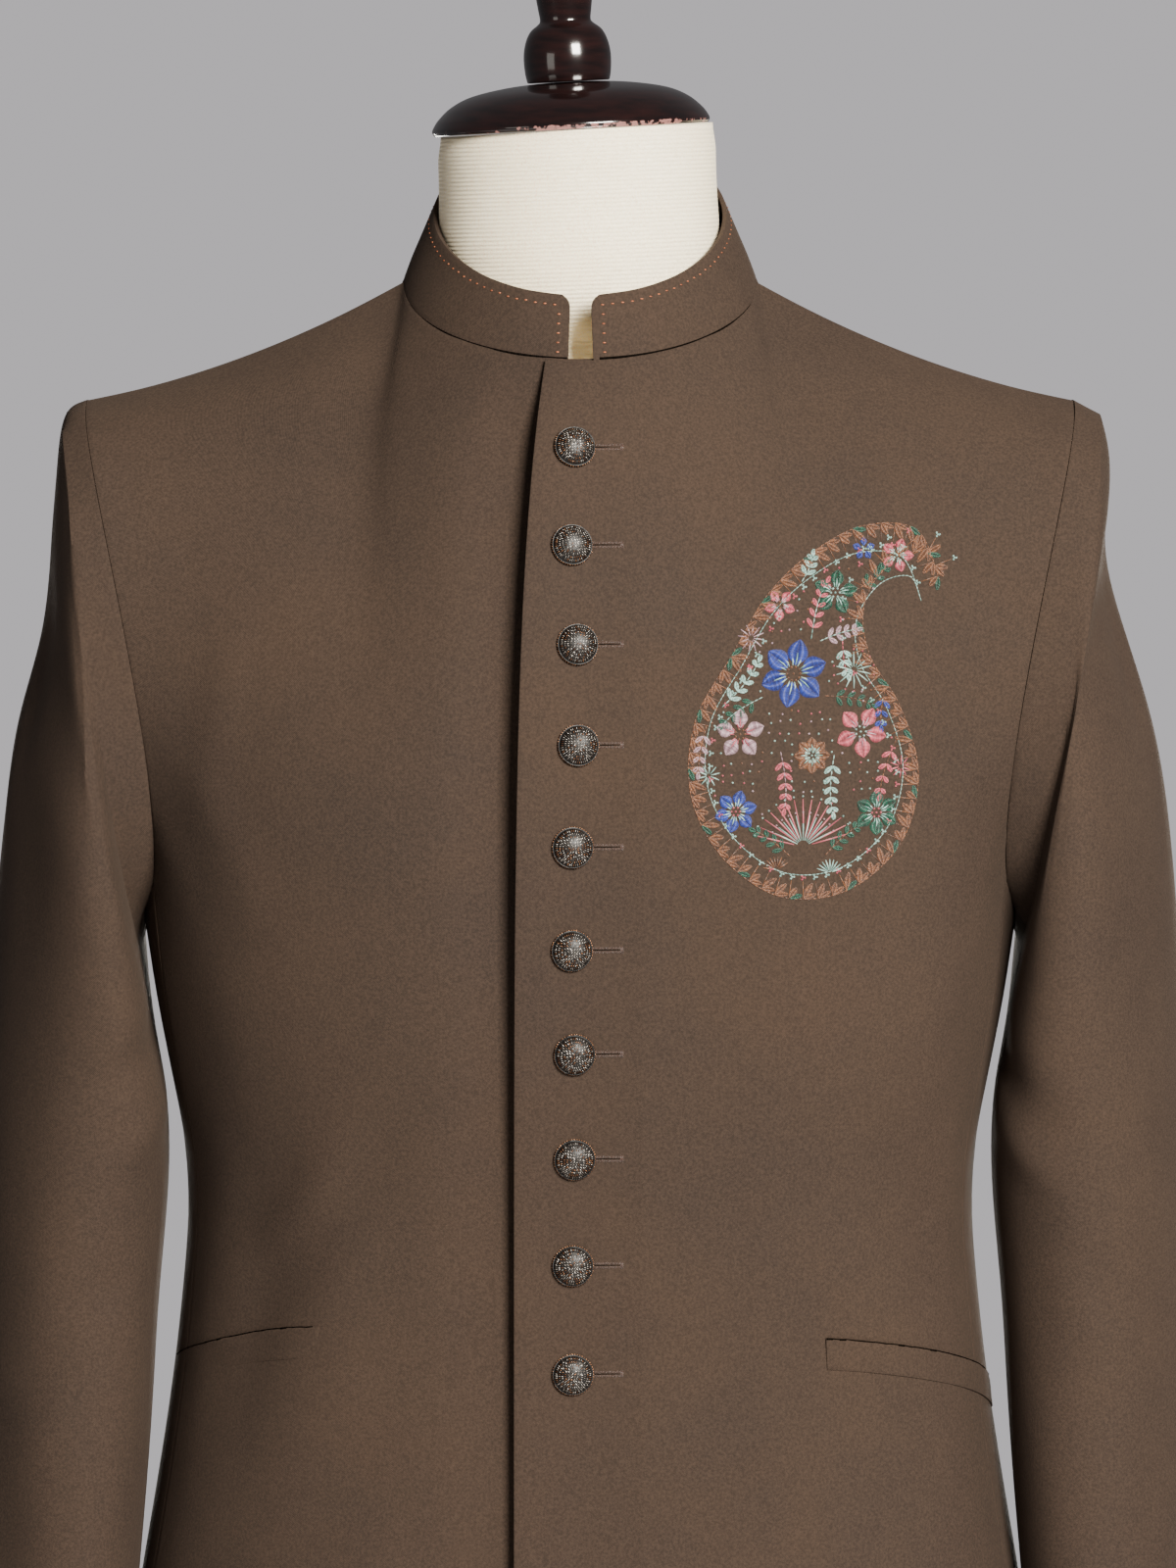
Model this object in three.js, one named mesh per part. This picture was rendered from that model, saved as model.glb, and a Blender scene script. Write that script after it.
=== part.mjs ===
// Bandhgala jacket: a stand-collared jacket, buttoned to the neck, worn by a limbless dress form on a turned stand.
// Millimetres, +Z up, the front towards -Y. The origin is the middle of the stand's foot, on the floor.
import * as THREE from "three";
import { mergeVertices } from "three/addons/utils/BufferGeometryUtils.js";

// Heights. A drop is a distance below the nape, where the collar's seam crosses the back of the neck.
const napeHeight = 1400;
const frontNeckDrop = 64;
const sideNeckDrop = 31.5;
const shoulderDrop = 85.5;
const chestDrop = 302;
const armpitDrop = 328;
const hemDrop = 752;

// Cloth
const cloth = 2;
const collarCloth = 2;
const seamGap = 0.3;
const layerGap = 0.5;
const welt = { stand: 0.6, cloth: 1.2, width: 14.5 };

// Neckline and shoulders
const neckHalf = 81;
const neckFront = 80;
const neckBack = 79;
const neckMiddle = -2;
const shoulderHalf = 226;
const shoulderSeamY = -6;
const shoulderHollow = 0.5;

// Angles round the body: 0 at the middle of the front, 90 at the side, 180 at the middle of the back. NeckPart is
// the share of a front's or back's width, from the middle to the armhole, that ends on the neckline.
const frontSeamAngle = 69;
const backSeamAngle = 117;
const neckPart = 0.4;
const squareness = 2.5;

// Front opening: how far the upper front runs past the middle, and how far the lower one runs under it.
const overlap = { atNeck: 15, atHem: 29.5, fadeLength: 90, under: 25, underAtNeck: 20, blendTo: 62 };
const hemCorner = 40;
const neckStep = 2;
const neckEdge = { from: 10, over: 8, lower: 1.6 };

// Outline of the worn jacket below the armholes: half width, and depth in front of and behind the middle.
const bodySections = [
  { drop: 302, half: 201, front: 133, back: 126 },
  { drop: 328, half: 200, front: 132.5, back: 123 },
  { drop: 371, half: 193, front: 130.5, back: 117 },
  { drop: 408, half: 185.5, front: 127.5, back: 111 },
  { drop: 445, half: 181, front: 125, back: 107 },
  { drop: 480, half: 182.7, front: 124, back: 107.5 },
  { drop: 517, half: 186.3, front: 124, back: 111.5 },
  { drop: 555, half: 191.5, front: 125, back: 118 },
  { drop: 595, half: 198, front: 126.5, back: 125 },
  { drop: 640, half: 205.5, front: 128, back: 131 },
  { drop: 700, half: 211, front: 128, back: 134 },
  { drop: 752, half: 214, front: 127, back: 134 },
];

// Soft folds of the body. Angle is signed, + on the wearer's left; lean is degrees of turn over the fold's length.
const bodyFolds = [
  { angle: -48, lean: -14, from: 392, to: 560, depth: -3.2, width: 6.5 },
  { angle: -37, lean: -10, from: 400, to: 600, depth: 2.4, width: 6 },
  { angle: 52, lean: 10, from: 350, to: 520, depth: -2.2, width: 7 },
  { angle: -60, lean: 2, from: 250, to: 420, depth: -2.6, width: 7 },
  { angle: 62, lean: 2, from: 250, to: 430, depth: -2.6, width: 7 },
  { angle: -30, lean: 4, from: 590, to: 800, depth: 2.0, width: 9 },
  { angle: 36, lean: 3, from: 600, to: 800, depth: 2.0, width: 9 },
  { angle: -150, lean: 8, from: 380, to: 560, depth: -2.5, width: 8 },
  { angle: 148, lean: -8, from: 370, to: 540, depth: -2.5, width: 8 },
];

// Rings of the worn sleeve, from just outside the armhole to the cuff: the outer and inner points of each ring
// as seen from the front, its reach forwards and back, and how far its front edge is turned inwards. RightIn is
// how much narrower the wearer's right sleeve is.
const sleeveRings = [
  { outX: 238.5, rightIn: 2.5, outDrop: 92, inX: 202, inDrop: 336, front: -79, back: 85, turn: 0 },
  { outX: 243, rightIn: 3, outDrop: 117, inX: 201, inDrop: 344, front: -82, back: 88, turn: 0.02 },
  { outX: 241.5, rightIn: -2, outDrop: 153, inX: 199.5, inDrop: 355, front: -84.5, back: 90, turn: 0.04 },
  { outX: 251, rightIn: 3, outDrop: 192, inX: 197.6, inDrop: 368, front: -85, back: 91, turn: 0.07 },
  { outX: 263.5, rightIn: 4.5, outDrop: 233, inX: 195, inDrop: 385, front: -84, back: 90, turn: 0.1 },
  { outX: 271.5, rightIn: 6, outDrop: 278, inX: 192.4, inDrop: 404, front: -81.5, back: 89, turn: 0.13 },
  { outX: 276.5, rightIn: 5, outDrop: 334, inX: 191.4, inDrop: 430, front: -78, back: 86, turn: 0.15 },
  { outX: 281, rightIn: 3, outDrop: 396, inX: 193, inDrop: 461, front: -75, back: 82, turn: 0.16 },
  { outX: 283, rightIn: 1, outDrop: 462, inX: 196.6, inDrop: 502, front: -74, back: 76, turn: 0.16 },
  { outX: 282.5, rightIn: 0, outDrop: 528, inX: 199.3, inDrop: 548, front: -75, back: 67, turn: 0.16 },
  { outX: 280.5, rightIn: 0, outDrop: 594, inX: 203, inDrop: 602, front: -77, back: 53, turn: 0.15 },
  { outX: 277.5, rightIn: 0, outDrop: 658, inX: 207.5, inDrop: 660, front: -80, back: 38, turn: 0.13 },
  { outX: 275, rightIn: 0, outDrop: 716, inX: 211, inDrop: 716, front: -82, back: 26, turn: 0.12 },
];
const sleeveSquareness = 2.15;

// Folds of the sleeves: where round the sleeve (0 outside, 90 front, 180 inside), and between which rings.
const sleeveFolds = [
  { angle: 40, from: 2.2, to: 7.5, depth: -3.0, width: 17, lean: 20 },
  { angle: 78, from: 1.5, to: 6.0, depth: 2.0, width: 15, lean: 8 },
  { angle: 110, from: 6.2, to: 9.6, depth: -3.0, width: 20, lean: -26 },
  { angle: 20, from: 7.0, to: 12.6, depth: 1.8, width: 20, lean: 12 },
  { angle: 300, from: 2.0, to: 7.0, depth: -3.0, width: 18, lean: 12 },
];

// Collar. The lengths are along the neckline from each end, where its rounded corners need their own columns.
const collar = { frontHeight: 29, backHeight: 36, topHalf: 67, topFront: 71.5, topBack: 67.8, leftEnd: 6, rightEnd: -5.3 };
const collarCorner = { radius: 6, lengths: [0, 0.7, 2, 4, 6.5], columnsBetween: 36 };

// Buttons: covered, domed, on the middle line.
const button = { count: 10, x: -2.4, firstDrop: 103.3, pitch: 42, growth: 0.42, radius: 9.2, height: 5.6, stand: 0.5 };

// Pockets, one each side: where the welt starts, how far round it runs and how much it falls.
const pocket = {
  left: { startX: 110, endAngle: 83, topDrop: 502, fall: 34 },
  right: { startX: 116, endAngle: 83, topDrop: 495.5, fall: 21 },
};

// Dress form
const form = {
  chestGap: 0.6,
  neckGap: 0.6,
  hemGap: 3,
  bottomDrop: 766,
  neckHalf: 63.5,
  neckFront: 62.5,
  neckBack: 60.5,
  flare: 7,
  armBulge: 13,
  armSag: 4,
};
const formNeckRows = [0.16, 0.36, 0.6, 0.85, 1];
const neckTop = { drop: -38, tilt: 0.0536, shift: -1.6 };
const cap = { radius: 63.6, height: 21.5, shift: -4.1 };
const stand = { footRadius: 190, footHeight: 34, poleRadius: 15, flangeRadius: 46, flangeHeight: 16 };

// Grids
const columns = { band: 4, neck: 5, seam: 6, side: 6 };
const bodyRows = [0, 0.085, 0.17, 0.26, 0.35, 0.44, 0.52, 0.6, 0.68, 0.77, 0.885, 1];
const upperRows = 9;

const degrees = Math.PI / 180;
const point = (x, y, z) => new THREE.Vector3(x, y, z);
const mix = (a, b, t) => a + (b - a) * t;
const clamp01 = (t) => Math.min(1, Math.max(0, t));
const ease = (t) => clamp01(t) ** 2 * (3 - 2 * clamp01(t));
const heightOf = (drop) => napeHeight - drop;

// The value of a column of a table at a place along it, on a smooth curve through its rows.
function readTable(rows, column, at, key) {
  const last = rows.length - 2;
  let i = rows.findIndex((row, n) => n < rows.length - 1 && at <= rows[n + 1][key]);
  if (i < 0) i = last;
  const [a, b] = [rows[i], rows[i + 1]];
  const slope = (n) => {
    const [p, q] = [rows[Math.max(0, n - 1)], rows[Math.min(rows.length - 1, n + 1)]];
    return (q[column] - p[column]) / (q[key] - p[key]);
  };
  const span = b[key] - a[key];
  const t = (at - a[key]) / span;
  if (t < 0) return a[column] + slope(i) * (at - a[key]);
  if (t > 1) return b[column] + slope(i + 1) * (at - b[key]);
  const [m0, m1] = [slope(i) * span, slope(i + 1) * span];
  return (
    (2 * t ** 3 - 3 * t ** 2 + 1) * a[column] +
    (t ** 3 - 2 * t ** 2 + t) * m0 +
    (3 * t ** 2 - 2 * t ** 3) * b[column] +
    (t ** 3 - t ** 2) * m1
  );
}

// Radius, in half widths, of a rounded square at an angle.
function roundedSquare(angle, power) {
  const [s, c] = [Math.abs(Math.sin(angle)), Math.abs(Math.cos(angle))];
  return 1 / (s ** power + c ** power) ** (1 / power);
}

// Angle round the body, in degrees, at which the section has a given sideways place.
function angleAtX(x, drop) {
  const share = Math.min(0.999, Math.abs(x) / readTable(bodySections, "half", drop, "drop")) ** squareness;
  return (Math.sign(x) * Math.atan((share / (1 - share)) ** (1 / squareness))) / degrees;
}

// How far the folds lift the cloth at an angle and drop. A hand is 1 for the wearer's left and -1 for the right.
function foldLift(angle, drop, hand) {
  let lift = 0;
  for (const fold of bodyFolds) {
    const t = (drop - fold.from) / (fold.to - fold.from);
    if (t <= 0 || t >= 1) continue;
    const off = (hand * angle - fold.angle - fold.lean * (t - 0.5)) / fold.width;
    lift += fold.depth * Math.sin(Math.PI * t) ** 1.5 * Math.exp(-off * off);
  }
  return lift;
}

// The jacket's outer surface below the chest line, at an angle in degrees and a drop. Both hands are drawn on
// the wearer's left, and the right one is mirrored when its solid is made.
function bodyPoint(angle, drop, hand = 1, inset = 0) {
  const turn = angle * degrees;
  const r = roundedSquare(turn, squareness);
  const lift = foldLift(angle, drop, hand) * ease((drop - chestDrop) / 60) - inset;
  const depth = readTable(bodySections, Math.cos(turn) > 0 ? "front" : "back", drop, "drop");
  const half = readTable(bodySections, "half", drop, "drop");
  return point(
    (half + lift) * r * Math.sin(turn),
    -(depth + lift) * r * Math.cos(turn),
    heightOf(drop),
  );
}

// Outward direction of the surface below the chest line.
function bodyNormal(angle, drop, hand) {
  const round = bodyPoint(angle + 0.5, drop, hand).sub(bodyPoint(angle - 0.5, drop, hand));
  const down = bodyPoint(angle, drop + 2, hand).sub(bodyPoint(angle, drop - 2, hand));
  return down.cross(round).normalize();
}
const bodyNode = (angle, drop, hand) => ({ angle, at: bodyPoint(angle, drop, hand), out: bodyNormal(angle, drop, hand) });

// The neckline, and the shoulder seam from the neck (0) to the armhole (1), on the wearer's left.
function neckPoint(angle) {
  const [s, c] = [Math.sin(angle * degrees), Math.cos(angle * degrees)];
  const drop = c > 0 ? mix(sideNeckDrop, frontNeckDrop, c) : mix(sideNeckDrop, 0, -c);
  return point(neckHalf * s, neckMiddle - (c > 0 ? neckFront : neckBack) * c, heightOf(drop));
}
function shoulderPoint(share) {
  const fall = share + shoulderHollow * share * (1 - share);
  return point(
    mix(neckHalf, shoulderHalf, share),
    mix(neckMiddle, shoulderSeamY, share),
    heightOf(mix(sideNeckDrop, shoulderDrop, fall)),
  );
}

// The direction in which the front (-1) or back (1) leaves the neckline or the shoulder seam. A fall is the
// angle below level, in degrees, next to the neck and at the armhole.
const seamFall = { front: { neck: 40, armhole: 9 }, back: { neck: 16, armhole: -3 } };
function alongSeam(share) {
  return shoulderPoint(share + 0.01).sub(shoulderPoint(share - 0.01)).normalize();
}
function acrossSeam(share, way) {
  const { neck, armhole } = way < 0 ? seamFall.front : seamFall.back;
  const fall = mix(neck, armhole, share ** 0.6) * degrees;
  return point(0, way * Math.cos(fall), -Math.sin(fall));
}
function leavingSeam(share, way) {
  return alongSeam(share).multiplyScalar(mix(0.35, 0, share)).add(acrossSeam(share, way)).normalize();
}
function leavingNeck(neckShare, way) {
  const middle = way < 0 ? point(0, -0.47, -0.88) : point(0, 0.5, -0.87);
  return middle.lerp(leavingSeam(0, way), neckShare).normalize();
}
function seamNormal(share) {
  const faces = [-1, 1].map((way) => acrossSeam(share, way).cross(alongSeam(share)).multiplyScalar(-way).normalize());
  return faces[0].add(faces[1]).normalize();
}

// How far a column's curve keeps its direction at its top and low ends, at the middle, the side of the neck and
// the armhole. Sweep and outward carry the low end of the armhole's edge forwards (or back) and out.
const columnPull = {
  front: { middle: { top: 82, low: 82 }, neck: { top: 98, low: 96 }, armhole: { top: 82, low: 62, sweep: 48, outward: 8 } },
  back: { middle: { top: 92, low: 92 }, neck: { top: 92, low: 104 }, armhole: { top: 96, low: 62, sweep: 36, outward: 6 } },
};

// A column of a front (-1) or back (1) is told by its place: 0 in the middle, 1 at the armhole, and less than 0 on
// the wearer's right. It runs from the chest line to the neckline or the shoulder seam.
const mirrored = (p) => point(-p.x, p.y, p.z);
const neckShareAt = (place) => Math.min(place, neckPart) / neckPart;
const shoulderShareAt = (place) => Math.max(0, place - neckPart) / (1 - neckPart);
const placeOnNeckAt = (x) => (Math.asin(x / neckHalf) / degrees / 90) * neckPart;
const chestAngleAt = (place, way) => (way < 0 ? frontSeamAngle * place : 180 - (180 - backSeamAngle) * place);
function topPoint(place, way) {
  if (place > neckPart) return shoulderPoint(shoulderShareAt(place));
  const angle = 90 * neckShareAt(place);
  return neckPoint(way < 0 ? angle : 180 - angle);
}

// The four control points of a column's curve, from the chest line up.
function controlPoints(place, way) {
  const [neckShare, share] = [neckShareAt(place), shoulderShareAt(place)];
  const angle = chestAngleAt(place, way);
  const [low, high] = [bodyPoint(angle, chestDrop), topPoint(place, way)];
  const leave = share > 0 ? leavingSeam(share, way) : leavingNeck(neckShare, way);
  const { middle, neck, armhole } = way < 0 ? columnPull.front : columnPull.back;
  const pull = mix(mix(middle.top, neck.top, ease(neckShare)), armhole.top, ease(share));
  const rise = mix(mix(middle.low, neck.low, ease(neckShare)), armhole.low, ease(share));
  const forward = bodyPoint(angle + way * 2, chestDrop).sub(low).normalize();
  const up = bodyPoint(angle, chestDrop).sub(bodyPoint(angle, chestDrop + 12)).normalize();
  const lowControl = low.clone().addScaledVector(up, rise).addScaledVector(forward, armhole.sweep * share ** 2.2);
  lowControl.x += armhole.outward * share ** 3;
  return [low, lowControl, high.clone().addScaledVector(leave, pull), high];
}

// The middle two control points are evened out from column to column, so that no crease runs down from the neck.
function evenedTracks(way) {
  const [count, passes] = [24, 12];
  const sets = [];
  for (let j = -count; j <= count; j++) {
    const set = controlPoints(Math.abs(j) / count, way);
    sets.push(j < 0 ? set.map(mirrored) : set);
  }
  return [1, 2].map((layer) => {
    let line = sets.map((set) => set[layer]);
    for (let pass = 0; pass < passes; pass++) {
      line = line.map((p, j) => {
        if (j === 0 || j === line.length - 1) return p;
        return p.clone().multiplyScalar(2).add(line[j - 1]).add(line[j + 1]).multiplyScalar(0.25);
      });
    }
    return new THREE.CatmullRomCurve3(line);
  });
}
const tracks = { front: evenedTracks(-1), back: evenedTracks(1) };
function upperColumn(place, way) {
  const [low, , , high] = controlPoints(Math.abs(place), way);
  const [first, second] = (way < 0 ? tracks.front : tracks.back).map((track) => track.getPoint((1 + place) / 2));
  return place < 0 ? [mirrored(low), first, second, mirrored(high)] : [low, first, second, high];
}
function onCurve([a, b, c, d], t) {
  const s = 1 - t;
  return point(0, 0, 0)
    .addScaledVector(a, s ** 3)
    .addScaledVector(b, 3 * s * s * t)
    .addScaledVector(c, 3 * s * t * t)
    .addScaledVector(d, t ** 3);
}

// How far past the middle the upper front's edge lies at a drop.
function edgeX(drop) {
  const fade = Math.exp(-Math.max(0, drop - frontNeckDrop) / overlap.fadeLength);
  return mix(overlap.atHem, overlap.atNeck, fade);
}

// Columns of a front from its edge to the armhole, with a band of them where the fronts overlap, and of a back.
function placesBetween(first, places, count, last) {
  for (let i = 1; i <= count; i++) places.push({ place: mix(first, last, i / count) });
}
function frontColumns(hand) {
  const list = [];
  for (let i = 0; i <= columns.band; i++) list.push({ band: hand > 0 ? i / columns.band : 1 - i / columns.band });
  placesBetween(placeOnNeckAt(hand > 0 ? overlap.underAtNeck : overlap.atNeck), list, columns.neck, neckPart);
  placesBetween(neckPart, list, columns.seam, 1);
  return list;
}
function plainColumns() {
  const list = [{ place: 0 }];
  placesBetween(0, list, columns.neck, neckPart);
  placesBetween(neckPart, list, columns.seam, 1);
  return list;
}

// Sideways place of a column in the band where the fronts overlap, on the wearer's left of the middle.
function bandX(band, drop) {
  const under = mix(overlap.underAtNeck, overlap.under, ease((drop - frontNeckDrop) / 200));
  return mix(-edgeX(drop), under, band);
}

// A front's grid, from its hem up to the neckline and shoulder seam. The left front is the upper one.
function frontGrid(hand) {
  const list = frontColumns(hand);
  const placeX = (band, drop) => hand * bandX(band, drop);
  const angleOf = ({ band, place }, drop) =>
    band === undefined ? chestAngleAt(place, -1) : angleAtX(placeX(band, drop), drop);
  const hemEdge = hand > 0 ? -edgeX(hemDrop) : -bandX(1, hemDrop);
  const rows = bodyRows.map((share) =>
    list.map((column) => {
      const along = bodyPoint(angleOf(column, hemDrop), hemDrop, hand).x - hemEdge;
      const inCorner = THREE.MathUtils.clamp(hemCorner - along, 0, hemCorner);
      const bottom = hemDrop - (hemCorner - Math.sqrt(hemCorner ** 2 - inCorner ** 2));
      const drop = mix(bottom, chestDrop, share);
      return bodyNode(angleOf(column, drop), drop, hand);
    }),
  );
  const placeOf = ({ band, place }) => (band === undefined ? place : placeOnNeckAt(placeX(band, frontNeckDrop)));
  addUpperRows(rows, list, list.map(placeOf), -1, (at, column) => {
    if (column.band !== undefined) at.x = placeX(column.band, napeHeight - at.z);
  });
  if (hand > 0) liftOverlap(rows);
  return rows;
}

// Rows above the chest line, along the columns' curves.
function addUpperRows(rows, list, places, way, adjust = () => {}) {
  const curves = places.map((place) => upperColumn(place, way));
  const firstRow = rows.length;
  for (let k = 1; k <= upperRows; k++) {
    rows.push(
      list.map((column, i) => {
        const at = onCurve(curves[i], k / upperRows);
        adjust(at, column);
        return { at, out: null };
      }),
    );
  }
  fillNormals(rows, firstRow, way, places);
}

// Outward directions for the rows above the chest line, from the neighbouring points, and at a shoulder seam
// from the seam itself, so that the front and the back agree there.
function fillNormals(rows, firstRow, way, places) {
  for (let k = firstRow; k < rows.length; k++) {
    for (let i = 0; i < rows[k].length; i++) {
      const before = rows[k][Math.max(0, i - 1)].at;
      const after = rows[k][Math.min(rows[k].length - 1, i + 1)].at;
      const below = rows[k - 1][i].at;
      const above = rows[Math.min(rows.length - 1, k + 1)][i].at;
      let out = after.clone().sub(before).cross(above.clone().sub(below));
      if (way > 0) out.negate();
      if (k === rows.length - 1 && places[i] >= neckPart) out = seamNormal(shoulderShareAt(places[i]));
      rows[k][i].out = out.normalize();
    }
  }
}

// The upper front stands on the lower one near the opening.
function liftOverlap(rows) {
  const reach = cloth + layerGap;
  for (const row of rows) {
    for (const node of row) {
      const away = (overlap.blendTo - node.at.x) / (overlap.blendTo - overlap.under);
      node.at.addScaledVector(node.out, reach * ease(away));
    }
  }
  rows[rows.length - 1].forEach((node, i) => {
    const down = rows[rows.length - 2][i].at.clone().sub(node.at).normalize();
    const lifted = ease((overlap.blendTo - node.at.x) / (overlap.blendTo - overlap.under));
    const atMiddle = ease((neckEdge.from - node.at.x) / neckEdge.over);
    node.at.addScaledVector(down, Math.max(neckStep * atMiddle, neckEdge.lower * lifted));
  });
}

// The grid of a back, from the middle seam to the side seam and armhole.
function backGrid(hand) {
  const list = plainColumns();
  const places = list.map(({ place }) => place);
  const rows = bodyRows.map((share) =>
    places.map((place) => bodyNode(chestAngleAt(place, 1), mix(hemDrop, chestDrop, share), hand)),
  );
  addUpperRows(rows, list, places, 1);
  for (const row of rows) row[0].out.setX(0).normalize();
  return rows;
}

// The grid of a side panel, whose top is the bottom of the armhole.
function armholeDrop(angle) {
  const t = (angle - frontSeamAngle) / (backSeamAngle - frontSeamAngle);
  return chestDrop + (armpitDrop - chestDrop) * Math.sin(Math.PI * clamp01(t)) ** 0.85;
}
function sideGrid(hand) {
  return bodyRows.map((share) => {
    const row = [];
    for (let i = 0; i <= columns.side; i++) {
      const angle = mix(frontSeamAngle, backSeamAngle, i / columns.side);
      row.push(bodyNode(angle, mix(hemDrop, armholeDrop(angle), share), hand));
    }
    return row;
  });
}

// The armhole's edge on the wearer's left, from the shoulder down the front, under the arm and up the back.
function armhole(front, side, back) {
  const frontEdge = front.slice(bodyRows.length - 1).map((row) => row[row.length - 1]).reverse();
  const bottom = side[side.length - 1].slice(1, -1);
  const backEdge = back.slice(bodyRows.length - 1).map((row) => row[row.length - 1]);
  return [...frontEdge, ...bottom, ...backEdge];
}

// How far the folds lift a sleeve, at an angle round it and a place along its rings.
function sleeveLift(angle, ring) {
  let lift = 0;
  for (const fold of sleeveFolds) {
    const t = (ring - fold.from) / (fold.to - fold.from);
    if (t <= 0 || t >= 1) continue;
    const off = (angle - fold.angle - fold.lean * (t - 0.5)) / fold.width;
    lift += fold.depth * Math.sin(Math.PI * t) * Math.exp(-off * off);
  }
  return lift;
}

// A point of the sleeve at a whole ring number, and an angle in degrees from its outer edge towards the front.
function sleevePoint(angle, ring, hand, lift) {
  const row = sleeveRings[ring];
  const turn = angle * degrees;
  const r = roundedSquare(turn, sleeveSquareness);
  const [s, c] = [r * Math.sin(turn), r * Math.cos(turn)];
  const outer = point(row.outX - (hand < 0 ? row.rightIn : 0), 0, heightOf(row.outDrop));
  const inner = point(row.inX, 0, heightOf(row.inDrop));
  const middle = outer.clone().add(inner).multiplyScalar(0.5);
  const across = outer.clone().sub(middle);
  const centreY = (row.front + row.back) / 2;
  const reach = (row.back - row.front) / 2;
  const stretch = 1 + lift / across.length();
  const y = centreY - (reach + lift) * s;
  const at = middle.addScaledVector(across, c * stretch);
  return point(at.x + row.turn * (y - centreY), y, at.z);
}

// Angles round a ring at which the cloth's length along it has the given shares of half the way round.
function anglesAtShares(ring, hand, start, shares) {
  const steps = 60;
  const lengths = [0];
  for (let i = 1; i <= steps; i++) {
    const [a, b] = [i - 1, i].map((n) => sleevePoint(start + (180 * n) / steps, ring, hand, 0));
    lengths.push(lengths[i - 1] + a.distanceTo(b));
  }
  return shares.map((share) => {
    const length = share * lengths[steps];
    const i = Math.max(1, lengths.findIndex((l) => l >= length - 1e-9));
    return start + (180 * (i - 1 + (length - lengths[i - 1]) / (lengths[i] - lengths[i - 1]))) / steps;
  });
}

// The sleeve's grid: its first row is the armhole's edge, and each column follows one point of that edge.
function sleeveGrid(loop, hand) {
  const half = (loop.length - 1) / 2;
  const shares = [0, half].map((first) => {
    const walk = [0];
    for (let i = 1; i <= half; i++) walk.push(walk[i - 1] + loop[first + i].at.distanceTo(loop[first + i - 1].at));
    return walk.map((length) => length / walk[half]);
  });
  const stations = [loop.map((node) => node.at.clone())];
  sleeveRings.forEach((_, ring) => {
    const frontAngles = anglesAtShares(ring, hand, 0, shares[0]);
    const backAngles = anglesAtShares(ring, hand, 180, shares[1]).slice(1);
    const angles = [...frontAngles, ...backAngles];
    stations.push(angles.map((angle) => sleevePoint(angle, ring, hand, sleeveLift(angle, ring))));
  });
  const curves = loop.map((_, i) => new THREE.CatmullRomCurve3(stations.map((row) => row[i]), false, "centripetal"));
  const count = stations.length - 1;
  const rows = [];
  for (let k = 0; k <= count; k++) {
    rows.push(curves.map((curve) => ({ at: curve.getPoint(k / count), out: null })));
  }
  const last = loop.length - 1;
  rows.forEach((row, k) => {
    row.forEach((node, i) => {
      const before = row[i === 0 ? last - 1 : i - 1].at;
      const after = row[i === last ? 1 : i + 1].at;
      const above = rows[Math.max(0, k - 1)][i].at;
      const below = rows[Math.min(count, k + 1)][i].at;
      node.out = after.clone().sub(before).cross(below.clone().sub(above)).normalize();
      if (k > 0) return;
      const foldedBack = ease((0.7 - node.out.dot(loop[i].out)) / 0.6);
      node.out.lerpVectors(loop[i].out, node.out, foldedBack).normalize();
    });
  });
  return rows;
}

// A closed wall between an outer and an inner skin. Edges named in seams are drawn back from their neighbours.
function wall(rows, thickness, seams = {}) {
  const outer = rows.map((row) => row.map((node) => node.at.clone()));
  const inner = rows.map((row) => row.map((node) => node.at.clone().addScaledVector(node.out, -thickness)));
  const [lastRow, lastColumn] = [rows.length - 1, rows[0].length - 1];
  const drawBack = (from, towards) => {
    const step = towards.clone().sub(from);
    from.addScaledVector(step, Math.min(0.4, seamGap / 2 / step.length()));
  };
  for (const skin of [outer, inner]) {
    if (seams.bottom) skin[0].forEach((p, i) => drawBack(p, skin[1][i]));
    if (seams.top) skin[lastRow].forEach((p, i) => drawBack(p, skin[lastRow - 1][i]));
    if (seams.start) skin.forEach((row) => drawBack(row[0], row[1]));
    if (seams.end) skin.forEach((row) => drawBack(row[lastColumn], row[lastColumn - 1]));
  }
  const triangles = [];
  const quad = (a, b, c, d) => triangles.push([a, b, c], [a, c, d]);
  for (let k = 0; k < lastRow; k++) {
    for (let i = 0; i < lastColumn; i++) {
      quad(outer[k][i], outer[k][i + 1], outer[k + 1][i + 1], outer[k + 1][i]);
      quad(inner[k][i], inner[k + 1][i], inner[k + 1][i + 1], inner[k][i + 1]);
    }
    quad(outer[k][0], outer[k + 1][0], inner[k + 1][0], inner[k][0]);
    quad(outer[k][lastColumn], inner[k][lastColumn], inner[k + 1][lastColumn], outer[k + 1][lastColumn]);
  }
  for (let i = 0; i < lastColumn; i++) {
    quad(outer[0][i], inner[0][i], inner[0][i + 1], outer[0][i + 1]);
    quad(outer[lastRow][i], outer[lastRow][i + 1], inner[lastRow][i + 1], inner[lastRow][i]);
  }
  return solid(triangles);
}

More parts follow.
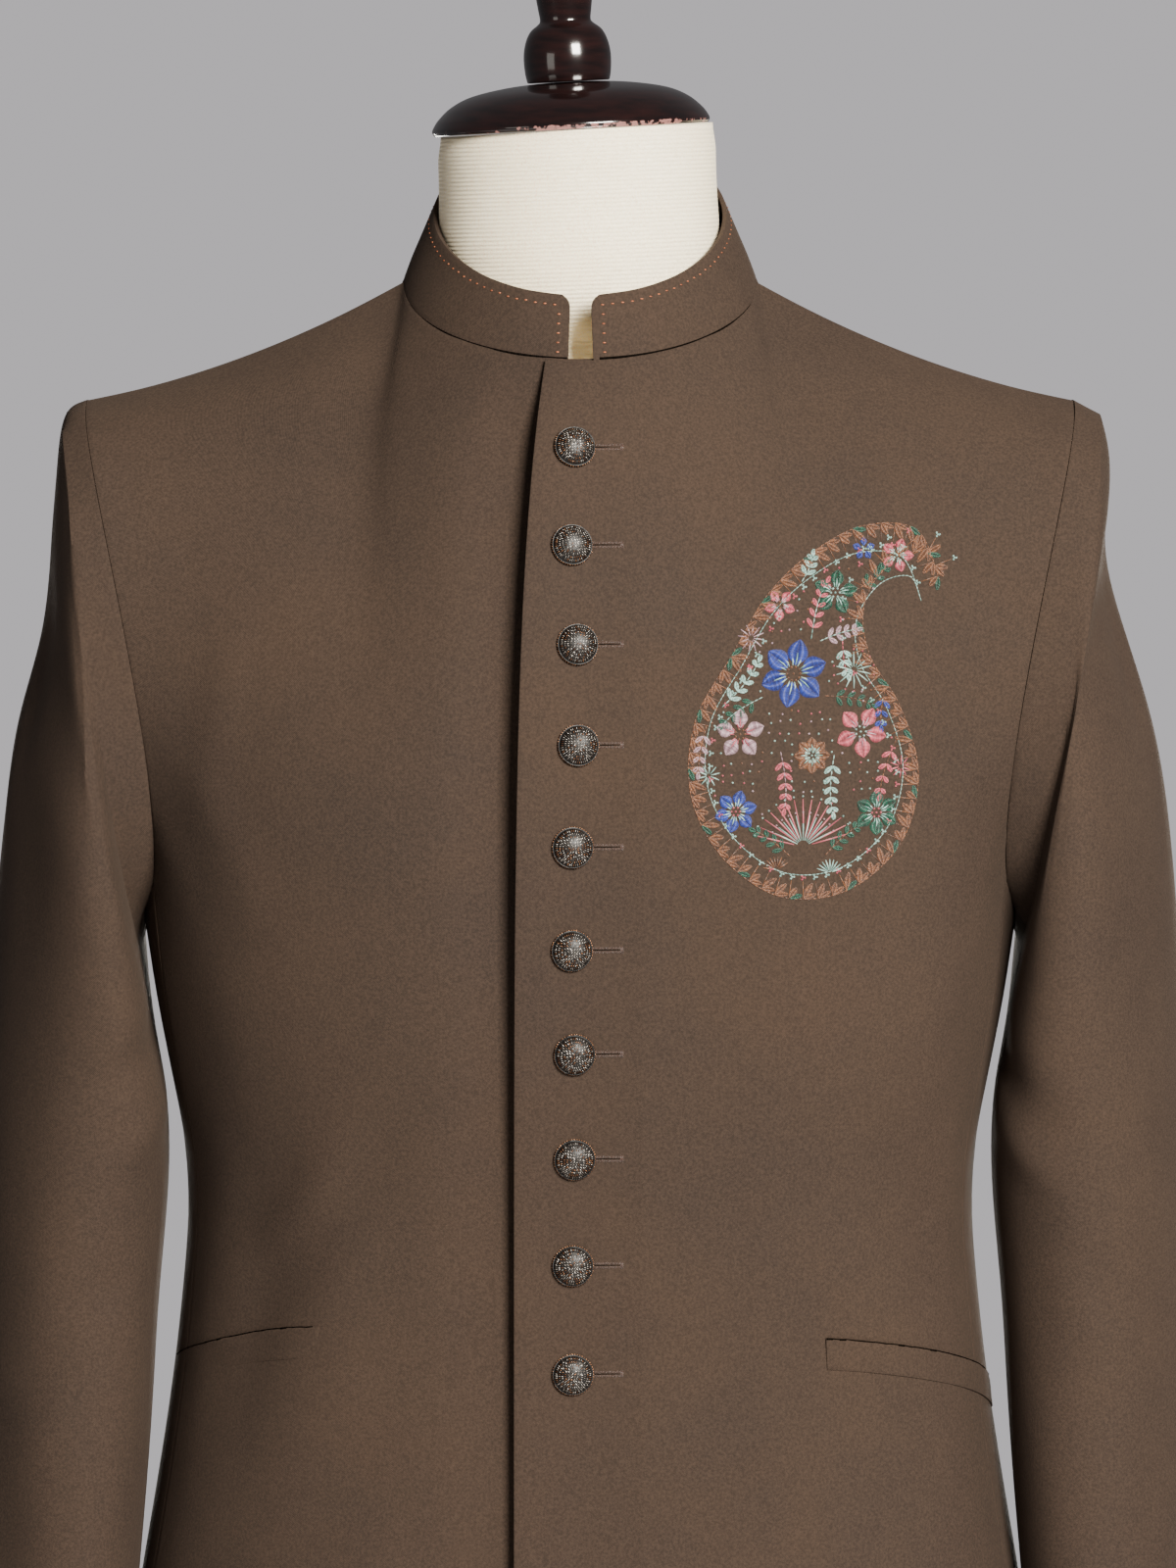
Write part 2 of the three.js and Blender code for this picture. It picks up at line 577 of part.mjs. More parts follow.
// A solid from triangles of points: shared corners are merged, and triangles that have shrunk to a line go.
function solid(triangles) {
  const positions = triangles.flatMap((triangle) => triangle.flatMap((p) => [p.x, p.y, p.z]));
  const loose = new THREE.BufferGeometry();
  loose.setAttribute("position", new THREE.Float32BufferAttribute(positions, 3));
  const merged = mergeVertices(loose, 1e-3);
  const kept = [];
  const index = merged.index.array;
  for (let i = 0; i < index.length; i += 3) {
    const [a, b, c] = [index[i], index[i + 1], index[i + 2]];
    if (a !== b && b !== c && a !== c) kept.push(a, b, c);
  }
  merged.setIndex(kept);
  if (signedVolume(merged) < 0) {
    for (let i = 0; i < kept.length; i += 3) [kept[i + 1], kept[i + 2]] = [kept[i + 2], kept[i + 1]];
    merged.setIndex(kept);
  }
  merged.computeVertexNormals();
  return merged;
}
function signedVolume(geometry) {
  const at = geometry.attributes.position;
  const index = geometry.index.array;
  const [a, b, c] = [point(0, 0, 0), point(0, 0, 0), point(0, 0, 0)];
  let sum = 0;
  for (let i = 0; i < index.length; i += 3) {
    a.fromBufferAttribute(at, index[i]);
    b.fromBufferAttribute(at, index[i + 1]);
    c.fromBufferAttribute(at, index[i + 2]);
    sum += a.dot(b.cross(c)) / 6;
  }
  return sum;
}
const mirrorGrid = (rows) =>
  rows.map((row) => row.map(({ at, out }) => ({ at: point(-at.x, at.y, at.z), out: point(-out.x, out.y, out.z) })));

// The collar: one stand band round the neckline, open at the front, its top corners rounded.
function collarGrid() {
  const start = Math.asin(collar.leftEnd / neckHalf) / degrees;
  const end = 360 + Math.asin(collar.rightEnd / neckHalf) / degrees;
  const perDegree = neckHalf * degrees;
  const nearEnd = collarCorner.lengths.map((length) => length / perDegree);
  const between = collarCorner.columnsBetween;
  const angles = [...nearEnd.map((a) => start + a)];
  for (let i = 1; i < between; i++) angles.push(mix(start + nearEnd[4], end - nearEnd[4], i / between));
  angles.push(...nearEnd.map((a) => end - a).reverse());
  const shares = [0, 0.33, 0.66, 1];
  return shares.map((share) =>
    angles.map((angle) => {
      const [s, c] = [Math.sin(angle * degrees), Math.cos(angle * degrees)];
      const base = neckPoint(angle <= 180 ? angle : 360 - angle);
      if (angle > 180) base.x = -base.x;
      const lifted = angle < 180 ? ease((overlap.blendTo - base.x) / (overlap.blendTo - overlap.under)) * ease(c * 3) : 0;
      const tall = mix(collar.backHeight, collar.frontHeight, (1 + c) / 2);
      const top = point(
        collar.topHalf * s,
        neckMiddle - (c > 0 ? collar.topFront : collar.topBack) * c,
        base.z + tall * 0.96,
      );
      base.y -= (cloth + layerGap) * lifted;
      top.y -= (cloth + layerGap) * lifted;
      const fromEnd = Math.min(angle - start, end - angle) * perDegree;
      const inCorner = THREE.MathUtils.clamp(collarCorner.radius - fromEnd, 0, collarCorner.radius);
      const cut = (collarCorner.radius - Math.sqrt(collarCorner.radius ** 2 - inCorner ** 2)) / tall;
      const at = base.clone().lerp(top, share * (1 - cut));
      at.z += seamGap + 0.1;
      const out = point(s, -c, 0).normalize();
      out.z = 0.35 * share;
      return { at, out: out.normalize() };
    }),
  );
}

// A pocket's welt lies on the front and the side panel: points of their surfaces, moved out.
function weltGrid(front, side, { startX, endAngle, topDrop, fall }) {
  const start = angleAtX(startX, topDrop);
  const inside = (angle) => angle > start + 2 && angle < endAngle - 2;
  const frontAngles = front[0].map((node) => node.angle).filter((angle) => inside(angle));
  const sideAngles = side[0].map((node) => node.angle).filter((angle) => inside(angle) && angle > frontSeamAngle);
  const angles = [start, ...frontAngles, ...sideAngles, endAngle];
  return [1, 0.5, 0].map((below) =>
    angles.map((angle) => {
      const t = (angle - start) / (endAngle - start);
      const drop = topDrop + fall * t ** 1.25 + below * welt.width;
      const panel = angle <= frontSeamAngle ? front : side;
      const node = surfaceAt(panel.slice(0, bodyRows.length), (n) => n.angle, angle, drop);
      node.at.addScaledVector(node.out, welt.stand + welt.cloth);
      return node;
    }),
  );
}

// A turned solid from a profile of [radius, height] pairs, from the axis at the bottom to the axis at the top.
function turned(profile, segments) {
  const geometry = new THREE.LatheGeometry(profile.map(([r, h]) => new THREE.Vector2(r, h)), segments);
  geometry.rotateX(Math.PI / 2);
  geometry.deleteAttribute("normal");
  geometry.deleteAttribute("uv");
  const merged = mergeVertices(geometry, 1e-3);
  const index = merged.index.array;
  const at = merged.attributes.position;
  const triangles = [];
  for (let i = 0; i < index.length; i += 3) {
    triangles.push([0, 1, 2].map((k) => point(0, 0, 0).fromBufferAttribute(at, index[i + k])));
  }
  return solid(triangles);
}

// The place and outward direction of a panel where a measure across it has a given value, at a drop.
function surfaceAt(rows, measure, value, drop) {
  const column = rows.map((row) => {
    const i = row.findIndex((node, n) => n > 0 && measure(node) >= value - 1e-6);
    const [a, b] = [row[i - 1], row[i]];
    const t = (value - measure(a)) / (measure(b) - measure(a));
    return { at: a.at.clone().lerp(b.at, t), out: a.out.clone().lerp(b.out, t) };
  });
  const k = column.findIndex((node) => heightOf(drop) <= node.at.z);
  const [a, b] = [column[k - 1], column[k]];
  const t = (heightOf(drop) - a.at.z) / (b.at.z - a.at.z);
  return { at: a.at.clone().lerp(b.at, t), out: a.out.clone().lerp(b.out, t).normalize() };
}

// The dress form: the jacket's own shape drawn in under it, closed across the armholes, with its neck.
function formRings() {
  const rings = [];
  const half = (list) => [...list, ...list.slice(1, -1).reverse().map(mirrored)];
  const places = plainColumns().map(({ place }) => place);
  const sideAngles = [];
  for (let i = 1; i < columns.side; i++) sideAngles.push(mix(frontSeamAngle, backSeamAngle, i / columns.side));
  const frontAngles = places.map((place) => chestAngleAt(place, -1));
  const backAngles = places.map((place) => chestAngleAt(place, 1)).reverse();
  for (const drop of [form.bottomDrop, ...bodyRows.slice(1).map((share) => mix(hemDrop, chestDrop, share))]) {
    const inset = cloth + mix(form.chestGap, form.hemGap, ease((drop - chestDrop) / 120));
    const ring = [...frontAngles, ...sideAngles, ...backAngles].map((angle) => {
      const sunk = Math.max(0, ...[-1, 1].map((hand) => -foldLift(angle, Math.min(drop, hemDrop), hand)));
      const at = bodyPoint(angle, Math.min(drop, hemDrop), 0, inset + sunk);
      return at.setZ(heightOf(drop));
    });
    rings.push(half(ring));
  }
  const [front, back] = [-1, 1].map((way) => {
    const rows = [chestDrop + 20, chestDrop].map((drop) =>
      places.map((place) => bodyNode(chestAngleAt(place, way), drop, 0)),
    );
    addUpperRows(rows, places, places, way);
    return rows.slice(1);
  });
  for (let k = 1; k <= upperRows; k++) {
    const drawnIn = (node, more = 0) => node.at.clone().addScaledVector(node.out, -(cloth + form.chestGap + more));
    const frontRow = front[k].map((node, i) => drawnIn(node, i < columns.neck ? form.neckGap : 0));
    const backRow = back[k].map((node) => drawnIn(node)).reverse();
    const [a, b] = [frontRow[frontRow.length - 1], backRow[0]];
    const bulge = form.armBulge * Math.sin(Math.PI * (k / upperRows) ** 1.2);
    const bridge = sideAngles.map((_, i) => {
      const t = (i + 1) / columns.side;
      const at = a.clone().lerp(b, t);
      at.x += bulge * Math.sin(Math.PI * t);
      at.z -= form.armSag * Math.sin(Math.PI * t) * (1 - k / upperRows);
      return at;
    });
    rings.push(half([...frontRow, ...bridge, ...backRow]));
  }
  return rings;
}

function fan(triangles, ring) {
  const middle = ring.reduce((sum, p) => sum.add(p), point(0, 0, 0)).divideScalar(ring.length);
  const isLow = middle.z < heightOf(hemDrop);
  for (let i = 0; i < ring.length; i++) {
    const j = (i + 1) % ring.length;
    triangles.push(isLow ? [middle, ring[j], ring[i]] : [middle, ring[i], ring[j]]);
  }
}

function formGeometry() {
  const rings = formRings();
  const triangles = [];
  const join = (low, high) => {
    for (let i = 0; i < low.length; i++) {
      const j = (i + 1) % low.length;
      const outward = Math.abs(low[j].x) > Math.abs(low[i].x);
      if (outward) triangles.push([low[i], low[j], high[j]], [low[i], high[j], high[i]]);
      else triangles.push([low[i], low[j], high[i]], [low[j], high[j], high[i]]);
    }
  };
  for (let k = 1; k < rings.length; k++) join(rings[k - 1], rings[k]);
  const top = rings[rings.length - 1];
  const neckCount = columns.neck;
  const size = top.length;
  const halfCount = size / 2;
  const neckRing = top.filter((_, i) => {
    const place = Math.min(i, size - i);
    return place <= neckCount || place >= halfCount - neckCount;
  });
  let below = neckRing;
  for (const step of formNeckRows) {
    const ring = neckRing.map((from) => {
      const angle = Math.atan2(from.x / neckHalf, -(from.y - neckMiddle) / neckFront);
      const widen = 1 + (form.flare / form.neckHalf) * (1 - step) ** 5;
      const x = neckTop.shift * ease(step) + form.neckHalf * widen * Math.sin(angle);
      const depth = Math.cos(angle) > 0 ? form.neckFront : form.neckBack;
      const y = -depth * widen * Math.cos(angle);
      const topZ = heightOf(neckTop.drop) + neckTop.tilt * x;
      return point(x, y, mix(from.z, topZ, step));
    });
    join(below, ring);
    below = ring;
  }
  fan(triangles, rings[0]);
  fan(triangles, below);
  return solid(triangles);
}
// Materials
const finish = (color, roughness, metalness = 0) => new THREE.MeshStandardMaterial({ color, roughness, metalness });
const materials = {
  suiting: finish(0x5f5045, 0.92),
  button: finish(0x9c8f80, 0.4, 0.8),
  linen: finish(0xe6e0d2, 0.9),
  wood: finish(0x2a1214, 0.15),
};

const jacket = new THREE.Group();
jacket.name = "jacket_on_form";
function add(name, geometry, material) {
  const mesh = new THREE.Mesh(geometry, material);
  mesh.name = name;
  jacket.add(mesh);
  return mesh;
}

// The panels, sleeves and welts of both hands. A sleeve is two pieces, joined by a seam behind its front fold
// and one at the back of the arm.
const sleeveSeamAt = { front: upperRows + 1, back: upperRows + columns.side + 3 };
const fronts = {};
for (const hand of [1, -1]) {
  const name = hand > 0 ? "left" : "right";
  const shape = hand > 0 ? (rows) => rows : mirrorGrid;
  const addCloth = (piece, rows, thickness, seams) =>
    add(piece + "_" + name, wall(shape(rows), thickness, seams), materials.suiting);
  const [front, side, back] = [frontGrid(hand), sideGrid(hand), backGrid(hand)];
  fronts[name] = front;
  addCloth("front", front, cloth, { top: true, end: true });
  addCloth("side", side, cloth, { top: true, start: true, end: true });
  addCloth("back", back, cloth, { top: true, start: true, end: true });
  addCloth("pocket_welt", weltGrid(front, side, pocket[name]), welt.cloth);

  const sleeve = sleeveGrid(armhole(front, side, back), hand);
  const { front: frontSeam, back: backSeam } = sleeveSeamAt;
  const topSleeve = sleeve.map((row) => [...row.slice(backSeam, -1), ...row.slice(0, frontSeam + 1)]);
  const underSleeve = sleeve.map((row) => row.slice(frontSeam, backSeam + 1));
  addCloth("sleeve_top", topSleeve, cloth, { bottom: true, start: true, end: true });
  addCloth("sleeve_under", underSleeve, cloth, { bottom: true, start: true, end: true });
}
add("collar", wall(collarGrid(), collarCloth), materials.suiting);

// Buttons
const buttonProfile = [[0, 0], [0.86, 0], [1, 0.18], [0.97, 0.42], [0.8, 0.72], [0.45, 0.93], [0, 1]];
for (let i = 0; i < button.count; i++) {
  const drop = button.firstDrop + button.pitch * i + button.growth * i * i;
  const seat = surfaceAt(fronts.left, (node) => node.at.x, button.x, drop);
  const profile = buttonProfile.map(([r, h]) => [r * button.radius, h * button.height]);
  const mesh = add("button_" + String(i + 1).padStart(2, "0"), turned(profile, 16), materials.button);
  mesh.quaternion.setFromUnitVectors(point(0, 0, 1), seat.out);
  mesh.position.copy(seat.at).addScaledVector(seat.out, button.stand);
}

// Dress form, its wooden cap and finial, and the stand
add("dress_form", formGeometry(), materials.linen);
const capProfile = [[0, 0], [0.985, 0], [1, 0.09], [0.985, 0.2], [0.945, 0.36], [0.85, 0.6], [0.7, 0.8], [0.45, 0.94], [0.2, 1], [0, 1]];
const capMesh = add("neck_cap", turned(capProfile.map(([r, h]) => [r * cap.radius, h * cap.height]), 40), materials.wood);
const capLean = Math.atan(neckTop.tilt);
capMesh.position.set(cap.shift, 0, heightOf(neckTop.drop) + seamGap + neckTop.tilt * cap.shift);
capMesh.rotation.y = -capLean;
const finialProfile = [
  [0, 0], [18.8, 0], [19.6, 4], [20, 10], [19.6, 15], [18.2, 20], [16, 23.7], [12.6, 26.4], [11.6, 28.2],
  [12.2, 33], [13.3, 41], [14.6, 50], [15.2, 58], [14, 65.5], [9.5, 70.5], [4, 73], [0, 73.6],
];
const finial = add("finial", turned(finialProfile, 28), materials.wood);
const finialSeat = cap.height + seamGap;
finial.position.set(
  capMesh.position.x - Math.sin(capLean) * finialSeat,
  0,
  capMesh.position.z + Math.cos(capLean) * finialSeat,
);
finial.rotation.y = -capLean;

const formBottom = heightOf(form.bottomDrop);
const flangeLow = formBottom - stand.flangeHeight;
const poleProfile = [
  [0, stand.footHeight], [24, stand.footHeight], [25, stand.footHeight + 10], [19, stand.footHeight + 26],
  [stand.poleRadius, stand.footHeight + 44], [stand.poleRadius, flangeLow - 60], [19, flangeLow - 46],
  [17, flangeLow - 30], [22, flangeLow - 12], [stand.flangeRadius, flangeLow], [stand.flangeRadius, formBottom],
  [0, formBottom],
];
add("stand_pole", turned(poleProfile, 28), materials.wood);
const footProfile = [
  [0, 0], [stand.footRadius, 0], [stand.footRadius, 9], [stand.footRadius - 7, 15], [stand.footRadius - 34, 20],
  [95, 24], [46, 27], [34, stand.footHeight], [0, stand.footHeight],
];
add("stand_foot", turned(footProfile, 44), materials.wood);

export default jacket;
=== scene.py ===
# Dresses the bandhgala jacket and its form: cloth shells, covered buttons, stitching, embroidery, jersey and
# lacquered wood.
import math
import random

import bmesh
import bpy
from mathutils import Matrix, Vector
from mathutils.bvhtree import BVHTree


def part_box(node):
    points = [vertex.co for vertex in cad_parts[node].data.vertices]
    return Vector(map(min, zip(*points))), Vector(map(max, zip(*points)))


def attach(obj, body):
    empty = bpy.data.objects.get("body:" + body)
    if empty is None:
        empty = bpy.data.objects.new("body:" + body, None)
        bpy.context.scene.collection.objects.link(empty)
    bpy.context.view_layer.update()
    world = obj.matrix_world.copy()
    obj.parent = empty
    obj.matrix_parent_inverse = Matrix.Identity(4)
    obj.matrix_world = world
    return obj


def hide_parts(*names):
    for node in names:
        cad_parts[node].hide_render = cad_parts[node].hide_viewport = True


mm = 0.001
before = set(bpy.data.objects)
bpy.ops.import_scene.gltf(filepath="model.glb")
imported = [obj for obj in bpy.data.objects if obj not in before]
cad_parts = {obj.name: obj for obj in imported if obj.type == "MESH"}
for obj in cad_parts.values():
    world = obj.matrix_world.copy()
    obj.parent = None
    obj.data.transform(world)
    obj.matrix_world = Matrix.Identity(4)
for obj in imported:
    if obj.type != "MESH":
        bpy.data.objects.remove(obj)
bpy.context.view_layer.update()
random.seed(7)
print("frame loaded")

# Camera: about 3.2 m away at chin height, looking slightly down.
cameraSettings = {
    "place": (3.6 * mm, -3200 * mm, 1433 * mm),
    "pitchDown": 5.275,
    "lens": 160.0,
    "sensor": 36.0,
}


def addCamera(settings):
    data = bpy.data.cameras.new("camera")
    data.sensor_fit = "VERTICAL"
    data.sensor_height = settings["sensor"]
    data.lens = settings["lens"]
    camera = bpy.data.objects.new("camera", data)
    bpy.context.collection.objects.link(camera)
    camera.location = settings["place"]
    camera.rotation_euler = (math.radians(90 - settings["pitchDown"]), 0, 0)
    bpy.context.scene.camera = camera


addCamera(cameraSettings)


# A table with named columns: each row becomes a dictionary.
def table(columns, *rows):
    return [dict(zip(columns.split(), row)) for row in rows]


def sinCos(degrees):
    return math.sin(math.radians(degrees)), math.cos(math.radians(degrees))


# Short ways to write shader trees.
def addNode(tree, kind, inputs=None, **settings):
    node = tree.nodes.new(kind)
    for name, value in settings.items():
        setattr(node, name, value)
    for name, value in (inputs or {}).items():
        if isinstance(value, bpy.types.NodeSocket):
            tree.links.new(value, node.inputs[name])
        else:
            node.inputs[name].default_value = value
    return node


def mixColours(tree, share, first, second, blend="MIX"):
    node = addNode(tree, "ShaderNodeMix", data_type="RGBA", blend_type=blend)
    for index, value in ((0, share), (6, first), (7, second)):
        if isinstance(value, bpy.types.NodeSocket):
            tree.links.new(value, node.inputs[index])
        else:
            node.inputs[index].default_value = value
    return node.outputs[2]


def sums(tree, operation, first, second):
    return addNode(tree, "ShaderNodeMath", {0: first, 1: second}, operation=operation).outputs[0]


def spread(tree, value, low, high, newLow=0.0, newHigh=1.0):
    limits = {"From Min": low, "From Max": high, "To Min": newLow, "To Max": newHigh}
    return addNode(tree, "ShaderNodeMapRange", {"Value": value, **limits}).outputs["Result"]


def placeOf(tree):
    return addNode(tree, "ShaderNodeTexCoord").outputs["Object"]


def noiseOf(tree, place, scale, detail, roughness=0.5):
    settings = {"Vector": place, "Scale": scale, "Detail": detail, "Roughness": roughness}
    return addNode(tree, "ShaderNodeTexNoise", settings).outputs["Fac"]


def bumpOf(tree, height, strength, distance):
    settings = {"Height": height, "Strength": strength, "Distance": distance * mm}
    return addNode(tree, "ShaderNodeBump", settings).outputs["Normal"]


def plug(tree, shader, colour, roughness, normal):
    for socket, value in (("Base Color", colour), ("Roughness", roughness), ("Normal", normal)):
        tree.links.new(value, shader.inputs[socket])


def newGroup(name, inputs, outputs):
    group = bpy.data.node_groups.new(name, "ShaderNodeTree")
    for label, kind, value in inputs:
        socket = group.interface.new_socket(name=label, in_out="INPUT", socket_type=kind)
        if value is not None:
            socket.default_value = value
    for label, kind in outputs:
        group.interface.new_socket(name=label, in_out="OUTPUT", socket_type=kind)
    return group, group.nodes.new("NodeGroupInput").outputs, group.nodes.new("NodeGroupOutput").inputs


# Nap of a brushed cloth: slow patches where the nap lies another way, smudges in them, and a fine grain.
napTones = {
    "detail": 4.0,
    "roughness": 0.6,
    "smudgesPerPatch": 6.0,
    "patchShare": 0.8,
    "smudgeShare": 0.2,
    "grainShare": 0.52,
    "smudgeHeight": 0.5,
}


def napGroup():
    group, given, made = newGroup(
        "brushedNap",
        [
            ("Vector", "NodeSocketVector", None),
            ("Colour", "NodeSocketColor", (0.2, 0.2, 0.2, 1)),
            ("Shade", "NodeSocketColor", (0.1, 0.1, 0.1, 1)),
            ("Patches per metre", "NodeSocketFloat", 12.0),
            ("Grain per metre", "NodeSocketFloat", 900.0),
        ],
        [("Colour", "NodeSocketColor"), ("Height", "NodeSocketFloat"), ("Roughness", "NodeSocketFloat")],
    )
    link = group.links.new

    def noise(scale):
        return noiseOf(group, given["Vector"], scale, napTones["detail"], napTones["roughness"])

    def part(value, share):
        return sums(group, "MULTIPLY", value, share)

    patches = noise(given["Patches per metre"])
    smudges = noise(part(given["Patches per metre"], napTones["smudgesPerPatch"]))
    grain = noise(given["Grain per metre"])
    slow = sums(group, "ADD", part(patches, napTones["patchShare"]), part(smudges, napTones["smudgeShare"]))
    toned = mixColours(group, spread(group, slow, 0.32, 0.68), given["Shade"], given["Colour"])
    speckles = spread(group, grain, 0.36, 0.64, 0.0, napTones["grainShare"])
    link(mixColours(group, speckles, toned, given["Colour"], "ADD"), made["Colour"])
    link(sums(group, "ADD", grain, part(smudges, napTones["smudgeHeight"])), made["Height"])
    link(spread(group, slow, 0.3, 0.7, 0.84, 0.96), made["Roughness"])
    return group


# Diagonal ribs of a twill, or rows of a jersey, from a piece's own flat coordinates.
def ribGroup():
    group, given, made = newGroup(
        "fineRibs",
        [
            ("Vector", "NodeSocketVector", None),
            ("Ribs per metre", "NodeSocketFloat", 900.0),
            ("Slant", "NodeSocketFloat", 0.0),
        ],
        [("Height", "NodeSocketFloat")],
    )
    parts = addNode(group, "ShaderNodeSeparateXYZ", {"Vector": given["Vector"]}).outputs
    slanted = sums(group, "ADD", parts["Y"], sums(group, "MULTIPLY", parts["X"], given["Slant"]))
    turns = sums(group, "MULTIPLY", sums(group, "MULTIPLY", slanted, given["Ribs per metre"]), 2 * math.pi)
    wave = addNode(group, "ShaderNodeMath", {0: turns}, operation="SINE").outputs[0]
    group.links.new(spread(group, wave, -1.0, 1.0), made["Height"])
    return group


# Strands of thread: each has its own tone, kept as an attribute on its points.
def strandGroup():
    group, given, made = newGroup(
        "strandTones",
        [
            ("Tone", "NodeSocketFloat", 0.5),
            ("Dark", "NodeSocketColor", (0, 0, 0, 1)),
            ("Light", "NodeSocketColor", (1, 1, 1, 1)),
        ],
        [("Colour", "NodeSocketColor"), ("Roughness", "NodeSocketFloat")],
    )
    group.links.new(mixColours(group, given["Tone"], given["Dark"], given["Light"]), made["Colour"])
    group.links.new(spread(group, given["Tone"], 0.0, 1.0, 0.48, 0.3), made["Roughness"])
    return group


groups = {"nap": napGroup(), "ribs": ribGroup(), "strands": strandGroup()}


def newMaterial(name, **plain):
    material = bpy.data.materials.new(name)
    material.use_nodes = True
    tree = material.node_tree
    shader = tree.nodes["Principled BSDF"]
    for socket, value in plain.items():
        shader.inputs[socket.replace("_", " ")].default_value = value
    return material, tree, shader


def placeGroup(tree, name, inputs):
    node = addNode(tree, "ShaderNodeGroup")
    node.node_tree = groups[name]
    for label, value in inputs.items():
        if isinstance(value, bpy.types.NodeSocket):
            tree.links.new(value, node.inputs[label])
        else:
            node.inputs[label].default_value = value
    return node.outputs


def colourOf(red, green, blue):
    shares = [level / 255 for level in (red, green, blue)]
    linear = [c / 12.92 if c <= 10 / 255 else ((c + 0.055) / 1.055) ** 2.4 for c in shares]
    return (*linear, 1.0)


suitingLook = {
    "light": colourOf(53, 41, 33),
    "dark": colourOf(43, 33, 27),
    "patches": 11.0,
    "grain": 850.0,
    "ribs": 1250.0,
    "bump": 0.6,
}


def placeNap(tree, look):
    inputs = {
        "Vector": placeOf(tree),
        "Colour": look["light"],
        "Shade": look["dark"],
        "Patches per metre": look["patches"],
        "Grain per metre": look["grain"],
    }
    return placeGroup(tree, "nap", inputs)


def suitingMaterial(look):
    material, tree, shader = newMaterial(
        "brownSuiting",
        Sheen_Weight=0.05,
        Sheen_Roughness=0.5,
        Sheen_Tint=colourOf(190, 165, 145),
        Specular_IOR_Level=0.25,
    )
    nap = placeNap(tree, look)
    flat = addNode(tree, "ShaderNodeTexCoord").outputs["UV"]
    ribs = placeGroup(tree, "ribs", {"Vector": flat, "Ribs per metre": look["ribs"], "Slant": 1.0})
    height = sums(tree, "ADD", nap["Height"], sums(tree, "MULTIPLY", ribs["Height"], 0.35))
    plug(tree, shader, nap["Colour"], nap["Roughness"], bumpOf(tree, height, look["bump"], 0.25))
    return material


jerseyLook = {
    "light": colourOf(255, 242, 212),
    "dark": colourOf(246, 228, 192),
    "patches": 18.0,
    "grain": 1400.0,
    "rows": 520.0,
    "bump": 1.0,
}


def jerseyMaterial(look):
    material, tree, shader = newMaterial("creamJersey", Sheen_Weight=0.15, Sheen_Roughness=0.5)
    nap = placeNap(tree, look)
    upright = {"Vector": placeOf(tree), "Rotation": (math.radians(90), 0, 0)}
    turned = addNode(tree, "ShaderNodeMapping", upright).outputs["Vector"]
    ribs = placeGroup(tree, "ribs", {"Vector": turned, "Ribs per metre": look["rows"], "Slant": 0.04})
    height = sums(tree, "ADD", sums(tree, "MULTIPLY", nap["Height"], 0.8), ribs["Height"])
    shaded = mixColours(tree, spread(tree, ribs["Height"], 0.0, 1.0, 0.0, 0.25), nap["Colour"], look["dark"])
    plug(tree, shader, shaded, nap["Roughness"], bumpOf(tree, height, look["bump"], 0.2))
    return material


# Lacquered wood. Where the points carry rim wear, chips show the pale ground coat.
lacquerLook = {"light": colourOf(29, 13, 12), "dark": colourOf(16, 8, 8), "ground": colourOf(146, 98, 92)}


def lacquerMaterial(look):
    material, tree, shader = newMaterial("mahoganyLacquer", Coat_Weight=0.9, Coat_Roughness=0.05)
    place = placeOf(tree)
    stretch = {"Vector": place, "Scale": (1.0, 1.0, 6.0)}
    grain = noiseOf(tree, addNode(tree, "ShaderNodeMapping", stretch).outputs["Vector"], 60.0, 5.0)
    wood = mixColours(tree, spread(tree, grain, 0.35, 0.65), look["dark"], look["light"])
    chips = noiseOf(tree, place, 330.0, 6.0)
    rim = addNode(tree, "ShaderNodeAttribute", attribute_name="rimWear").outputs["Fac"]
    worn = spread(tree, sums(tree, "ADD", chips, sums(tree, "MULTIPLY", rim, 0.22)), 0.66, 0.7)
    worn = sums(tree, "MULTIPLY", worn, spread(tree, rim, 0.05, 0.2))
    height = sums(tree, "SUBTRACT", sums(tree, "MULTIPLY", noiseOf(tree, place, 700.0, 3.0), 0.06), worn)
    colour = mixColours(tree, worn, wood, look["ground"])
    plug(tree, shader, colour, spread(tree, worn, 0.0, 1.0, 0.16, 0.7), bumpOf(tree, height, 0.4, 0.2))
    return material


# Threads and metal beads take their light and dark tones from each strand's own attribute.
threadColours = {
    "mint": (colourOf(92, 134, 126), colourOf(168, 200, 190)),
    "coral": (colourOf(138, 46, 62), colourOf(198, 94, 106)),
    "royalBlue": (colourOf(14, 26, 92), colourOf(38, 60, 156)),
    "darkGreen": (colourOf(4, 38, 28), colourOf(14, 82, 60)),
    "copper": (colourOf(70, 39, 22), colourOf(128, 80, 48)),
    "lilac": (colourOf(124, 90, 102), colourOf(184, 156, 164)),
    "brownThread": (colourOf(58, 39, 32), colourOf(84, 58, 48)),
}


def strandMaterial(name, dark, light, **plain):
    material, tree, shader = newMaterial(name, **plain)
    tone = addNode(tree, "ShaderNodeAttribute", attribute_name="tone").outputs["Fac"]
    strands = placeGroup(tree, "strands", {"Tone": tone, "Dark": dark, "Light": light})
    twist = noiseOf(tree, placeOf(tree), 2600.0, 2.0)
    plug(tree, shader, strands["Colour"], strands["Roughness"], bumpOf(tree, twist, 0.3, 0.1))
    return material


